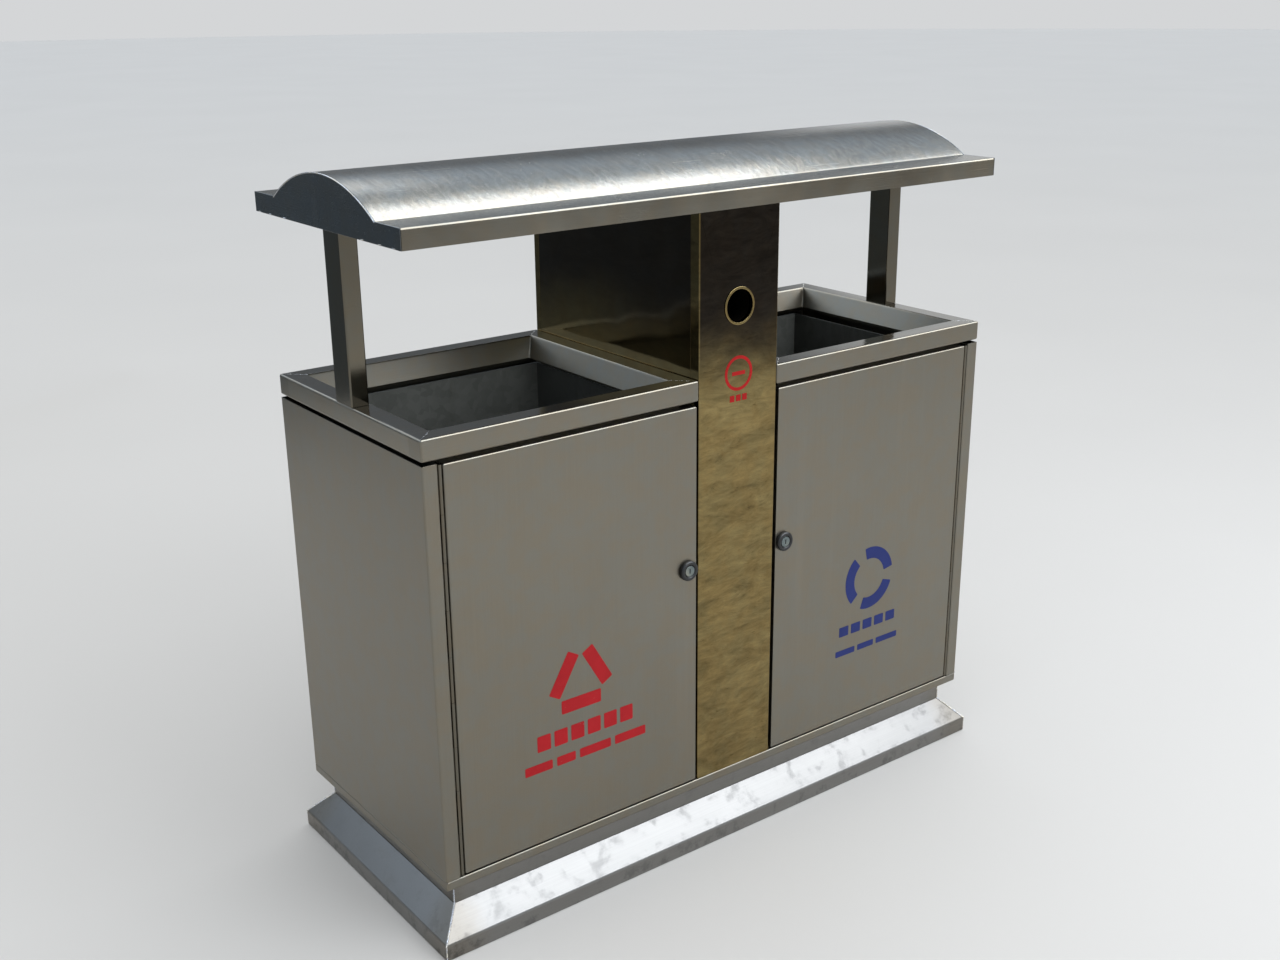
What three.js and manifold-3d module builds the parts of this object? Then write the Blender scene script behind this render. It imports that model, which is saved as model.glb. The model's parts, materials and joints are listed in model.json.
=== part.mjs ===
// Recycling bin station: two lockable compartments on a sloped plinth, a mirror-finish centre
// column with an ash hole, and an arched canopy on two posts.
// Units are millimetres. +X runs along the station, +Y to its back, +Z up. The origin is on the
// ground under the middle of the station.

import * as THREE from 'three';
import { mergeVertices } from 'three/addons/utils/BufferGeometryUtils.js';
import Module from 'manifold-3d';

const wasm = await Module();
wasm.setup();

// ---------- Driving dimensions ----------

const BODY_LENGTH = 1100;
const BODY_DEPTH = 440;
const SHEET = 1.2;
const HEAVY_SHEET = 2;
const FIT_GAP = 0.4; // left between pieces that touch

// Plinth
const SKIRT_OUTSET = 16; // flange of the skirt, outside the body
const SKIRT_FLANGE = 26;
const SKIRT_RISE = 39;
const NECK_INSET = 22; // base frame, inside the body
const NECK_HEIGHT = 39; // base frame seen above the skirt
const FOOT_UNDER_FRAME = 28; // foot of the skirt, inside the face of the base frame
const FRAME_FLANGE = 32;
const ANCHOR_BAR_WIDTH = 60;
const ANCHOR_BAR_THICKNESS = 4;
const ANCHOR_HOLE_RADIUS = 6;
const ANCHOR_BAR_INSET = 160; // bar centre to the end of the body
const ANCHOR_HOLE_INSET = 90; // hole centre to the front or back of the body

// Body
const RAIL_HEIGHT = 15.6;
const RAIL_SEAT = 12; // bottom lip of the floor pan that rests on the base frame
const PANEL_HEIGHT = 638.6;
const STILE_MARGIN = 3; // stile beyond the header that its fold carries

// Rims over the two compartments
const SHADOW_GAP = 5;
const RIM_FASCIA = 32;
const RIM_LIP = 32;
const RIM_RETURN = 16;
const FUNNEL_DROP = 35;
const FUNNEL_SLOPE = 12;
const HEADER_RECESS = 6;
const HEADER_DROP = 15;

// Doors
const DOOR_DEPTH = 18;
const DOOR_BACK_CLEARANCE = 3; // door to the header behind it
const DOOR_LOWER_GAP = 2.4;
const DOOR_UPPER_GAP = 2;
const DOOR_COLUMN_GAP = 5;
const STIFFENER_HEIGHT = 60;
const STIFFENER_DEPTH = 12;
const STIFFENER_FLANGE = 14;
const STIFFENER_RISE = 280; // centre of the stiffener above the floor pan

// Hinges
const BARREL_RADIUS = 3;
const PIN_RADIUS = 1.4;
const PIN_CLEARANCE = 0.3;
const HINGE_SIDE_GAP = 1; // barrel to stile, and barrel to door
const LEAF_WIDTH = 14;
const LEAF_THICKNESS = 1.5;
const KNUCKLES = 9;

// Locks
const LOCK_HEIGHT = 377; // above the floor pan
const LOCK_EDGE_INSET = 17; // lock axis to the free edge of the door
const LOCK_BODY_RADIUS = 8.8;
const LOCK_BEZEL_BAND = 7.4; // bezel beyond the lock body
const LOCK_BEZEL_PROUD = 7.5;
const LOCK_BEZEL_CHAMFER = 2;
const LOCK_FACE_RECESS = 1.2;
const LOCK_NUT_BAND = 4.7; // nut corners beyond the lock body
const LOCK_NUT_THICKNESS = 5;
const KEY_SLOT = { width: 1.6, length: 8, depth: 3 };
const CAM_SLOT_EDGE = 2.7; // column sheet left between its seam and the cam slot
const CAM_SLOT_CLEARANCE = 2;
const CAM_THICKNESS = 2.5;
const CAM_WIDTH = 14;
const CAM_REACH = 8; // cam tip inside the column when locked
const CAM_SEAT_RADIUS = 4;
const CAM_SCREW = 2; // end of the lock behind the cam
const STRIKE_MARGIN = 7;
const STRIKE_THICKNESS = 2;

// Liners
const LINER_SIDE_GAP = 46.6; // liner to the end of the body
const LINER_COLUMN_GAP = 18;
const LINER_FRONT_GAP = 7.5; // liner to the inner end of the lock
const LINER_BACK_GAP = 26;
const LINER_HEADROOM = 3; // liner top under the header
const LINER_SHEET = 0.8;
const LINER_LIP = 3;
const LINER_LIP_HEIGHT = 6;
const TRAY_SHEET = 1.5;
const TRAY_LIP = 20;
const HANDLE_DROP = 24;
const HANDLE_WIDTH = 110;
const HANDLE_RADIUS = 3;
const HANDLE_BEND = 6;
const HANDLE_END = 13;
const HANDLE_STANDOFF = 7.5; // pivot in front of the liner
const HANDLE_FROM_TOP = 85;
const CLIP_HEIGHT = 18;
const CLIP_SHEET = 1.2;
const CLIP_LUG_WIDTH = 5;

// Centre column
const COLUMN_WIDTH = 156;
const COLUMN_SETBACK = 1; // column face behind the door faces
const COLUMN_FRONT_RETURN = 20;
const COLUMN_BACK_RETURN = 14;
const JOGGLE_OVERLAP = 10;
const ASH_HOLE_RADIUS = 27;
const ASH_HOLE_HEIGHT = 779; // above the floor pan
const ASH_BEZEL_LIP = 2.2;
const ASH_BEZEL_WALL = 1.2;
const ASH_BEZEL_DEPTH = 8;
const CHUTE_MARGIN = 4; // chute wall beyond the ash hole
const CHUTE_RUN = 24;
const CHUTE_BEND = 56;
const CHUTE_DROP = 80;
const ASH_CAN_RADIUS = 52;
const ASH_CAN_HEIGHT = 150;
const ASH_CAN_CLEARANCE = 24; // below the chute
const ASH_SHELF_MARGIN = 8; // shelf behind the ash can
const ASH_SHELF_FLANGE = 18;
const HATCH_MARGIN = 14; // behind and above the ash can, in the column sides

// Canopy
const POST_WIDTH = 28;
const POST_DEPTH = 50;
const POST_HEIGHT = 248.2;
const CANOPY_OVERHANG_END = 11;
const CANOPY_OVERHANG_FRONT = 1.5;
const CANOPY_FASCIA = 29;
const CANOPY_LEDGE = 67;
const ARCH_RISE = 46.5;
const SOFFIT_UPSTAND = 12;
const RIB_SHEET = 2;

// ---------- Derived places ----------

const HALF_LENGTH = BODY_LENGTH / 2;
const HALF_DEPTH = BODY_DEPTH / 2;
const HALF_COLUMN = COLUMN_WIDTH / 2;
const SKIRT_TOP = SKIRT_FLANGE + SKIRT_RISE;
const NECK_TOP = SKIRT_TOP + NECK_HEIGHT;
const FLOOR_BOTTOM = NECK_TOP + FIT_GAP;
const FLOOR_TOP = FLOOR_BOTTOM + RAIL_HEIGHT;
const PANEL_BOTTOM = FLOOR_TOP + FIT_GAP;
const PANEL_TOP = PANEL_BOTTOM + PANEL_HEIGHT;
const RIM_BOTTOM = PANEL_TOP + SHADOW_GAP;
const RIM_TOP = RIM_BOTTOM + RIM_FASCIA;
const HEADER_TOP = RIM_BOTTOM - FIT_GAP;
const HEADER_BOTTOM = HEADER_TOP - HEADER_DROP;
const HEADER_WEB = DOOR_DEPTH + DOOR_BACK_CLEARANCE;
const STILE_WIDTH = HEADER_WEB + STILE_MARGIN;
const PANEL_FOLD = HEADER_WEB - FIT_GAP; // the folds end at the header, which they carry
const RAIL_LIP = NECK_INSET + RAIL_SEAT;
const FOOT_TIP = NECK_INSET + FOOT_UNDER_FRAME;

// One compartment, between the end of the body and the column
const BAY_OUTER = HALF_LENGTH;
const BAY_INNER = HALF_COLUMN + FIT_GAP;
const BAY_LENGTH = BAY_OUTER - BAY_INNER;
const BAY_CENTRE = (BAY_OUTER + BAY_INNER) / 2;

const HINGE_X = HALF_LENGTH - STILE_WIDTH - HINGE_SIDE_GAP - BARREL_RADIUS;
const HINGE_Y = -HALF_DEPTH + BARREL_RADIUS;
const DOOR_OUTER = HINGE_X - BARREL_RADIUS - HINGE_SIDE_GAP;
const DOOR_INNER = HALF_COLUMN + DOOR_COLUMN_GAP;
const DOOR_BOTTOM = FLOOR_TOP + DOOR_LOWER_GAP;
const DOOR_TOP = PANEL_TOP - DOOR_UPPER_GAP;

const COLUMN_FRONT = -HALF_DEPTH + COLUMN_SETBACK;
const COLUMN_BACK = HALF_DEPTH - COLUMN_SETBACK;
const COLUMN_BOTTOM = FLOOR_TOP + FIT_GAP;
const COLUMN_INSIDE = HALF_COLUMN - SHEET - FIT_GAP; // half width left for pieces inside
const SEAM_FRONT = COLUMN_FRONT + COLUMN_FRONT_RETURN + FIT_GAP;
const SEAM_BACK = COLUMN_BACK - COLUMN_BACK_RETURN - FIT_GAP;
const BEHIND_SEAM = SEAM_FRONT + SHEET + FIT_GAP;

const LOCK_X = DOOR_INNER + LOCK_EDGE_INSET;
const LOCK_Z = FLOOR_TOP + LOCK_HEIGHT;
const CAM_LENGTH = LOCK_EDGE_INSET + DOOR_COLUMN_GAP + CAM_REACH;
const CAM_SWEEP = Math.hypot(CAM_LENGTH, CAM_WIDTH / 2);
const CAM_FRONT = BEHIND_SEAM + CAM_SLOT_EDGE + CAM_SLOT_CLEARANCE;
const CAM_SETBACK = CAM_FRONT + HALF_DEPTH; // cam face behind the door front
const CAM_BACK = CAM_FRONT + CAM_THICKNESS;
const LOCK_END = CAM_BACK + CAM_SCREW;
const CAM_SLOT = {
  front: CAM_FRONT - CAM_SLOT_CLEARANCE,
  back: CAM_BACK + 2 * CAM_SLOT_CLEARANCE,
  bottom: LOCK_Z - CAM_WIDTH / 2 - CAM_SLOT_CLEARANCE,
  top: LOCK_Z + Math.sqrt(CAM_SWEEP ** 2 - (CAM_LENGTH - CAM_REACH) ** 2) + CAM_SLOT_CLEARANCE,
};

const LINER_OUTER = HALF_LENGTH - LINER_SIDE_GAP;
const LINER_INNER = HALF_COLUMN + LINER_COLUMN_GAP;
const LINER_LENGTH = LINER_OUTER - LINER_INNER;
const LINER_CENTRE_X = (LINER_OUTER + LINER_INNER) / 2;
const LINER_FRONT = LOCK_END + LINER_FRONT_GAP;
const LINER_BACK = HALF_DEPTH - LINER_BACK_GAP;
const LINER_DEPTH = LINER_BACK - LINER_FRONT;
const LINER_CENTRE_Y = (LINER_FRONT + LINER_BACK) / 2;
const TRAY_BOTTOM = FLOOR_TOP + FIT_GAP;
const LINER_BOTTOM = TRAY_BOTTOM + TRAY_SHEET + FIT_GAP;
const LINER_TOP = HEADER_BOTTOM - LINER_HEADROOM;
const HANDLE_Z = LINER_TOP - HANDLE_FROM_TOP;
const HANDLE_Y = LINER_FRONT - HANDLE_STANDOFF;

const ASH_HOLE_Z = FLOOR_TOP + ASH_HOLE_HEIGHT;
const CHUTE_RADIUS = ASH_HOLE_RADIUS + CHUTE_MARGIN;
const CHUTE_START = COLUMN_FRONT + SHEET + FIT_GAP;
const CHUTE_Y = CHUTE_START + CHUTE_RUN + CHUTE_BEND;
const CHUTE_END = ASH_HOLE_Z - CHUTE_BEND - CHUTE_DROP;
const ASH_CAN_TOP = CHUTE_END - ASH_CAN_CLEARANCE;
const ASH_CAN_BOTTOM = ASH_CAN_TOP - ASH_CAN_HEIGHT;
const ASH_SHELF_TOP = ASH_CAN_BOTTOM - FIT_GAP;

const POST_BOTTOM = RIM_TOP + FIT_GAP;
const POST_TOP = POST_BOTTOM + POST_HEIGHT;
const POST_X = HALF_LENGTH - POST_WIDTH / 2;
const CANOPY_BOTTOM = POST_TOP + FIT_GAP;
const LEDGE_TOP = CANOPY_BOTTOM + CANOPY_FASCIA;
const CANOPY_HALF_LENGTH = HALF_LENGTH + CANOPY_OVERHANG_END;
const CANOPY_HALF_DEPTH = HALF_DEPTH + CANOPY_OVERHANG_FRONT;
const CANOPY_BAY = CANOPY_HALF_LENGTH - SHEET - FIT_GAP; // inside the end plates
const ARCH_HALF_SPAN = CANOPY_HALF_DEPTH - CANOPY_LEDGE;
const ARCH_RADIUS = (ARCH_HALF_SPAN ** 2 + ARCH_RISE ** 2) / (2 * ARCH_RISE);
const ARCH_CENTRE_Z = LEDGE_TOP + ARCH_RISE - ARCH_RADIUS;

const ROUND_SIDES = 40;
const SMALL_ROUND_SIDES = 14;
const ARCH_SEGMENTS = 32;

// ---------- Materials ----------

const finish = (color, roughness, metalness) =>
  new THREE.MeshStandardMaterial({ color, roughness, metalness });
const brushedSteel = finish(0x9b9890, 0.38, 1);
const polishedSteel = finish(0xb9b8b2, 0.15, 1);
const goldMirror = finish(0x9a8142, 0.1, 1);
const galvanised = finish(0x4b504e, 0.6, 0.8);
const zincSteel = finish(0x8d8f8c, 0.45, 1);
const blackPlastic = finish(0x141414, 0.35, 0);

// ---------- Geometry helpers ----------

function welded(geometry) {
  const bare = geometry.clone();
  bare.deleteAttribute('normal');
  bare.deleteAttribute('uv');
  return mergeVertices(bare, 1e-4);
}

function signedVolume(geometry) {
  const a = new THREE.Vector3();
  const b = new THREE.Vector3();
  const c = new THREE.Vector3();
  const { position } = geometry.attributes;
  let sum = 0;
  for (let i = 0; i < geometry.index.count; i += 3) {
    a.fromBufferAttribute(position, geometry.index.getX(i));
    b.fromBufferAttribute(position, geometry.index.getX(i + 1));
    c.fromBufferAttribute(position, geometry.index.getX(i + 2));
    sum += a.dot(b.cross(c)) / 6;
  }
  return sum;
}

// A welded copy whose faces point out, whichever way its outline was drawn.
function outward(geometry) {
  const closed = welded(geometry);
  if (signedVolume(closed) < 0) {
    const { array } = closed.index;
    for (let i = 0; i < array.length; i += 3) {
      [array[i], array[i + 1]] = [array[i + 1], array[i]];
    }
  }
  return closed;
}

function toSolid(geometry) {
  const closed = outward(geometry);
  const vertProperties = new Float32Array(closed.attributes.position.array);
  const triVerts = new Uint32Array(closed.index.array);
  return new wasm.Manifold(new wasm.Mesh({ numProp: 3, vertProperties, triVerts }));
}

function toGeometry(solid) {
  const { vertProperties, triVerts } = solid.getMesh();
  const geometry = new THREE.BufferGeometry();
  geometry.setAttribute('position', new THREE.BufferAttribute(vertProperties, 3));
  geometry.setIndex(new THREE.BufferAttribute(triVerts, 1));
  return geometry;
}

const cut = (base, ...tools) =>
  toGeometry(tools.reduce((solid, tool) => solid.subtract(toSolid(tool)), toSolid(base)));

const join = (base, ...others) =>
  toGeometry(others.reduce((solid, other) => solid.add(toSolid(other)), toSolid(base)));

// A box between two corners given axis by axis.
function block([x0, x1], [y0, y1], [z0, z1]) {
  const box = new THREE.BoxGeometry(Math.abs(x1 - x0), y1 - y0, z1 - z0);
  return box.translate((x0 + x1) / 2, (y0 + y1) / 2, (z0 + z1) / 2);
}

const outline = (points) => new THREE.Shape(points.map(([u, v]) => new THREE.Vector2(u, v)));

// A plan outline raised from z0 to z1.
function raised(shape, z0, z1) {
  const options = { depth: z1 - z0, bevelEnabled: false, curveSegments: ARCH_SEGMENTS };
  return new THREE.ExtrudeGeometry(shape, options).translate(0, 0, z0);
}

// A section drawn in (y, z) and run along X from x0 to x1.
function runAlongX(shape, x0, x1) {
  const turn = new THREE.Matrix4().makeBasis(
    new THREE.Vector3(0, 1, 0),
    new THREE.Vector3(0, 0, 1),
    new THREE.Vector3(1, 0, 0),
  );
  return raised(shape, x0, x1).applyMatrix4(turn);
}

// A closed section of (outset, z) points carried round a rectangle with mitred corners. A lathe
// with four sides gives the mitres, and its corners are then pulled out to the rectangle.
function mitredRing(section, halfX, halfY) {
  const core = 1.2 * Math.max(...section.map(([outset]) => Math.abs(outset))) + 1;
  const profile = [...section, section[0]].map(
    ([outset, z]) => new THREE.Vector2((core + outset) * Math.SQRT2, z),
  );
  const ring = new THREE.LatheGeometry(profile, 4, Math.PI / 4).rotateX(Math.PI / 2);
  const { position } = ring.attributes;
  for (let i = 0; i < position.count; i += 1) {
    position.setX(i, position.getX(i) + Math.sign(position.getX(i)) * (halfX - core));
    position.setY(i, position.getY(i) + Math.sign(position.getY(i)) * (halfY - core));
  }
  return ring;
}

// A profile of (radius, y) points turned about an axis along Y.
function turnedAlongY(profile, sides = ROUND_SIDES) {
  return new THREE.LatheGeometry(profile.map(([r, y]) => new THREE.Vector2(r, y)), sides);
}

const rodAlongY = (radius, y0, y1, sides = ROUND_SIDES) =>
  turnedAlongY([[0, y0], [radius, y0], [radius, y1], [0, y1]], sides);

const rodAlongZ = (radius, z0, z1, sides = SMALL_ROUND_SIDES) =>
  new THREE.CylinderGeometry(radius, radius, z1 - z0, sides)
    .rotateX(Math.PI / 2)
    .translate(0, 0, (z0 + z1) / 2);

const rodAlongX = (radius, x0, x1, sides = SMALL_ROUND_SIDES) =>
  new THREE.CylinderGeometry(radius, radius, x1 - x0, sides)
    .rotateZ(Math.PI / 2)
    .translate((x0 + x1) / 2, 0, 0);

function piece(name, geometry, material, [x, y, z] = [0, 0, 0]) {
  const mesh = new THREE.Mesh(outward(geometry), material);
  mesh.name = name;
  mesh.position.set(x, y, z);
  mesh.geometry.computeVertexNormals();
  return mesh;
}

function groupOf(...pieces) {
  const group = new THREE.Group();
  group.add(...pieces);
  return group;
}

// ---------- Plinth ----------

// A bent sheet: vertical flange, 45 degree slope up to the neck, and a foot turned inwards.
function plinthSkirt() {
  const edge = -NECK_INSET + FIT_GAP;
  const run = SKIRT_OUTSET - edge;
  const slant = (HEAVY_SHEET * Math.hypot(run, SKIRT_RISE)) / run;
  const elbow = SKIRT_FLANGE - slant + (HEAVY_SHEET * SKIRT_RISE) / run;
  const section = [
    [SKIRT_OUTSET, 0],
    [SKIRT_OUTSET, SKIRT_FLANGE],
    [edge, SKIRT_TOP],
    [edge, SKIRT_TOP - slant],
    [SKIRT_OUTSET - HEAVY_SHEET, elbow],
    [SKIRT_OUTSET - HEAVY_SHEET, HEAVY_SHEET],
    [-FOOT_TIP, HEAVY_SHEET],
    [-FOOT_TIP, 0],
  ];
  return mitredRing(section, HALF_LENGTH, HALF_DEPTH);
}

// A channel open to the inside, standing on the skirt's foot.
function baseFrame() {
  const face = -NECK_INSET;
  const tip = face - FRAME_FLANGE;
  const bottom = HEAVY_SHEET + FIT_GAP;
  const section = [
    [face, bottom],
    [face, NECK_TOP],
    [tip, NECK_TOP],
    [tip, NECK_TOP - HEAVY_SHEET],
    [face - HEAVY_SHEET, NECK_TOP - HEAVY_SHEET],
    [face - HEAVY_SHEET, bottom + HEAVY_SHEET],
    [tip, bottom + HEAVY_SHEET],
    [tip, bottom],
  ];
  return mitredRing(section, HALF_LENGTH, HALF_DEPTH);
}

// A flat bar on the ground between the front and the back of the base frame, with a bolt hole
// at each end and an upstand that is welded to the frame.
function anchorBar() {
  const reach = HALF_DEPTH - NECK_INSET - FRAME_FLANGE - FIT_GAP;
  const half = ANCHOR_BAR_WIDTH / 2;
  const upstand = NECK_TOP / 2;
  const section = outline([
    [-reach, 0],
    [reach, 0],
    [reach, upstand],
    [reach - ANCHOR_BAR_THICKNESS, upstand],
    [reach - ANCHOR_BAR_THICKNESS, ANCHOR_BAR_THICKNESS],
    [-reach + ANCHOR_BAR_THICKNESS, ANCHOR_BAR_THICKNESS],
    [-reach + ANCHOR_BAR_THICKNESS, upstand],
    [-reach, upstand],
  ]);
  const holes = [-1, 1].map((end) =>
    rodAlongZ(ANCHOR_HOLE_RADIUS, -1, ANCHOR_BAR_THICKNESS + 1)
      .translate(0, end * (HALF_DEPTH - ANCHOR_HOLE_INSET), 0),
  );
  return cut(runAlongX(section, -half, half), ...holes);
}

const anchorX = HALF_LENGTH - ANCHOR_BAR_INSET;
const plinth = groupOf(
  piece('plinth_skirt', plinthSkirt(), brushedSteel),
  piece('base_frame', baseFrame(), brushedSteel),
  piece('anchor_bar_left', anchorBar(), zincSteel, [-anchorX, 0, 0]),
  piece('anchor_bar_right', anchorBar(), zincSteel, [anchorX, 0, 0]),
);

// ---------- Body ----------

// A shallow tray turned upside down. Its edge is the rail seen under the doors, and its bottom
// lips rest on the base frame.
function floorPan() {
  const x = HALF_LENGTH;
  const y = HALF_DEPTH;
  const inner = block(
    [-x + SHEET, x - SHEET],
    [-y + SHEET, y - SHEET],
    [FLOOR_BOTTOM + SHEET, FLOOR_TOP - SHEET],
  );
  const mouth = block(
    [-x + RAIL_LIP, x - RAIL_LIP],
    [-y + RAIL_LIP, y - RAIL_LIP],
    [FLOOR_BOTTOM - 1, FLOOR_BOTTOM + SHEET + 1],
  );
  return cut(block([-x, x], [-y, y], [FLOOR_BOTTOM, FLOOR_TOP]), inner, mouth);
}

// End of the body and its front and back stiles, one sheet folded round both corners.
function sidePanel(side) {
  const outer = HALF_LENGTH;
  const stile = HALF_LENGTH - STILE_WIDTH;
  const front = -HALF_DEPTH;
  const back = HALF_DEPTH;
  const plan = [
    [stile, front + PANEL_FOLD],
    [stile, front],
    [outer, front],
    [outer, back],
    [stile, back],
    [stile, back - PANEL_FOLD],
    [stile + SHEET, back - PANEL_FOLD],
    [stile + SHEET, back - SHEET],
    [outer - SHEET, back - SHEET],
    [outer - SHEET, front + SHEET],
    [stile + SHEET, front + SHEET],
    [stile + SHEET, front + PANEL_FOLD],
  ];
  const shape = outline(plan.map(([x, y]) => [side * x, y]));
  return raised(shape, PANEL_BOTTOM, PANEL_TOP);
}

// Back of one compartment, with a fold at each edge.
function backPanel(side) {
  const outer = HALF_LENGTH - STILE_WIDTH - FIT_GAP;
  const inner = HALF_COLUMN + FIT_GAP;
  const face = HALF_DEPTH;
  const fold = HALF_DEPTH - PANEL_FOLD;
  const plan = [
    [inner, fold],
    [inner, face],
    [outer, face],
    [outer, fold],
    [outer - SHEET, fold],
    [outer - SHEET, face - SHEET],
    [inner + SHEET, face - SHEET],
    [inner + SHEET, fold],
  ];
  const shape = outline(plan.map(([x, y]) => [side * x, y]));
  return raised(shape, PANEL_BOTTOM, PANEL_TOP);
}

// ---------- Rims ----------

// Angle ring that carries the rim. It is set back, which leaves the dark gap under the rim.
function header() {
  const edge = -HEADER_RECESS;
  const web = -HEADER_WEB;
  const section = [
    [edge, HEADER_TOP - SHEET],
    [edge, HEADER_TOP],
    [web - SHEET, HEADER_TOP],
    [web - SHEET, HEADER_BOTTOM],
    [web, HEADER_BOTTOM],
    [web, HEADER_TOP - SHEET],
  ];
  return mitredRing(section, BAY_LENGTH / 2, HALF_DEPTH);
}

// Fascia, flat lip and an inner band that slopes into the opening, from one folded sheet.
function rim() {
  const slant = Math.hypot(FUNNEL_DROP, FUNNEL_SLOPE);
  const across = (SHEET * slant) / FUNNEL_DROP; // sheet measured level through the sloped band
  const lean = FUNNEL_SLOPE / FUNNEL_DROP;
  const funnelBottom = RIM_TOP - FUNNEL_DROP;
  const section = [
    [0, RIM_BOTTOM],
    [0, RIM_TOP],
    [-RIM_LIP, RIM_TOP],
    [-RIM_LIP - FUNNEL_SLOPE, funnelBottom],
    [-RIM_LIP - FUNNEL_SLOPE + across, funnelBottom],
    [-RIM_LIP - SHEET * lean + across, RIM_TOP - SHEET],
    [-SHEET, RIM_TOP - SHEET],
    [-SHEET, RIM_BOTTOM + SHEET],
    [-RIM_RETURN, RIM_BOTTOM + SHEET],
    [-RIM_RETURN, RIM_BOTTOM],
  ];
  return mitredRing(section, BAY_LENGTH / 2, HALF_DEPTH);
}

// ---------- Liners ----------

// Open bin of galvanised sheet with a thickened lip.
function liner() {
  const x = LINER_LENGTH / 2;
  const y = LINER_DEPTH / 2;
  const body = block([-x, x], [-y, y], [LINER_BOTTOM, LINER_TOP]);
  const lip = block(
    [-x - LINER_LIP, x + LINER_LIP],
    [-y - LINER_LIP, y + LINER_LIP],
    [LINER_TOP - LINER_LIP_HEIGHT, LINER_TOP],
  );
  const hollow = block(
    [-x + LINER_SHEET, x - LINER_SHEET],
    [-y + LINER_SHEET, y - LINER_SHEET],
    [LINER_BOTTOM + LINER_SHEET, LINER_TOP + 1],
  );
  return cut(join(body, lip), hollow);
}

// Channel on the floor pan that keeps the liner in line as it slides in.
function linerTray() {
  const inner = LINER_LENGTH / 2 + FIT_GAP;
  const outer = inner + TRAY_SHEET;
  const half = LINER_DEPTH / 2;
  const channel = block([-outer, outer], [-half, half], [TRAY_BOTTOM, TRAY_BOTTOM + TRAY_LIP]);
  const room = block(
    [-inner, inner],
    [-half - 1, half + 1],
    [TRAY_BOTTOM + TRAY_SHEET, TRAY_BOTTOM + TRAY_LIP + 1],
  );
  return cut(channel, room);
}

// Plate on the front of the liner with two eyes for the handle. Local origin at the pivot.
function handleClip() {
  const half = HANDLE_WIDTH / 2 + HANDLE_END;
  const back = HANDLE_STANDOFF - FIT_GAP;
  const plate = block(
    [-half, half],
    [back - CLIP_SHEET, back],
    [-CLIP_HEIGHT / 2, CLIP_HEIGHT / 2],
  );
  const lugInner = HANDLE_WIDTH / 2 + HANDLE_BEND + FIT_GAP;
  const eyeRadius = HANDLE_RADIUS + 2 * FIT_GAP;
  const lugHalf = eyeRadius + CLIP_SHEET;
  const lugs = [-1, 1].map((end) =>
    block([end * lugInner, end * (lugInner + CLIP_LUG_WIDTH)], [-lugHalf, back], [-lugHalf, lugHalf]),
  );
  return cut(join(plate, ...lugs), rodAlongX(eyeRadius, -half - 1, half + 1));
}

// Bent wire handle that hangs from its two turned-out ends. Local origin at the pivot.
function linerHandle() {
  const half = HANDLE_WIDTH / 2;
  const bend = HANDLE_BEND;
  const corners = [
    [-half - HANDLE_END, 0],
    [-half, 0],
    [-half, -HANDLE_DROP],
    [half, -HANDLE_DROP],
    [half, 0],
    [half + HANDLE_END, 0],
  ].map(([x, z]) => new THREE.Vector3(x, 0, z));
  const path = new THREE.CurvePath();
  let start = corners[0];
  for (let i = 1; i < corners.length - 1; i += 1) {
    const corner = corners[i];
    const into = corner.clone().lerp(corners[i - 1], bend / corner.distanceTo(corners[i - 1]));
    const away = corner.clone().lerp(corners[i + 1], bend / corner.distanceTo(corners[i + 1]));
    path.add(new THREE.LineCurve3(start, into));
    path.add(new THREE.QuadraticBezierCurve3(into, corner, away));
    start = away;
  }
  path.add(new THREE.LineCurve3(start, corners.at(-1)));
  const wire = new THREE.Shape().absarc(0, 0, HANDLE_RADIUS, 0, 2 * Math.PI);
  return new THREE.ExtrudeGeometry(wire, { steps: 60, curveSegments: 4, extrudePath: path });
}

// ---------- Doors ----------

// Sheet pan with its folds turned inwards and a hole for the lock.
function door(side) {
  const front = -HALF_DEPTH;
  const pan = block(
    [side * DOOR_INNER, side * DOOR_OUTER],
    [front, front + DOOR_DEPTH],
    [DOOR_BOTTOM, DOOR_TOP],
  );
  const hollow = block(
    [side * (DOOR_INNER + SHEET), side * (DOOR_OUTER - SHEET)],
    [front + SHEET, front + DOOR_DEPTH + 1],
    [DOOR_BOTTOM + SHEET, DOOR_TOP - SHEET],
  );
  const lockHole = rodAlongY(LOCK_BODY_RADIUS + FIT_GAP, front - 1, front + SHEET + 1)
    .translate(side * LOCK_X, 0, LOCK_Z);
  return cut(pan, hollow, lockHole);
}

// Hat-section rib across the inside of the door.
function doorStiffener(side) {
  const base = -HALF_DEPTH + SHEET + FIT_GAP;
  const crown = base + STIFFENER_DEPTH;
  const foot = STIFFENER_HEIGHT / 2;
  const web = foot - STIFFENER_FLANGE;
  const shape = outline([
    [base, -foot],
    [base, -web + SHEET],
    [crown - SHEET, -web + SHEET],
    [crown - SHEET, web - SHEET],
    [base, web - SHEET],
    [base, foot],
    [base + SHEET, foot],
    [base + SHEET, web],
    [crown, web],
    [crown, -web],
    [base + SHEET, -web],
    [base + SHEET, -foot],
  ]);
  const inner = DOOR_INNER + SHEET + FIT_GAP;
  const outer = DOOR_OUTER - SHEET - FIT_GAP;
  const [x0, x1] = side < 0 ? [-outer, -inner] : [inner, outer];
  return runAlongX(shape, x0, x1).translate(0, 0, FLOOR_TOP + STIFFENER_RISE);
}

// ---------- Hinges ----------

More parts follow.
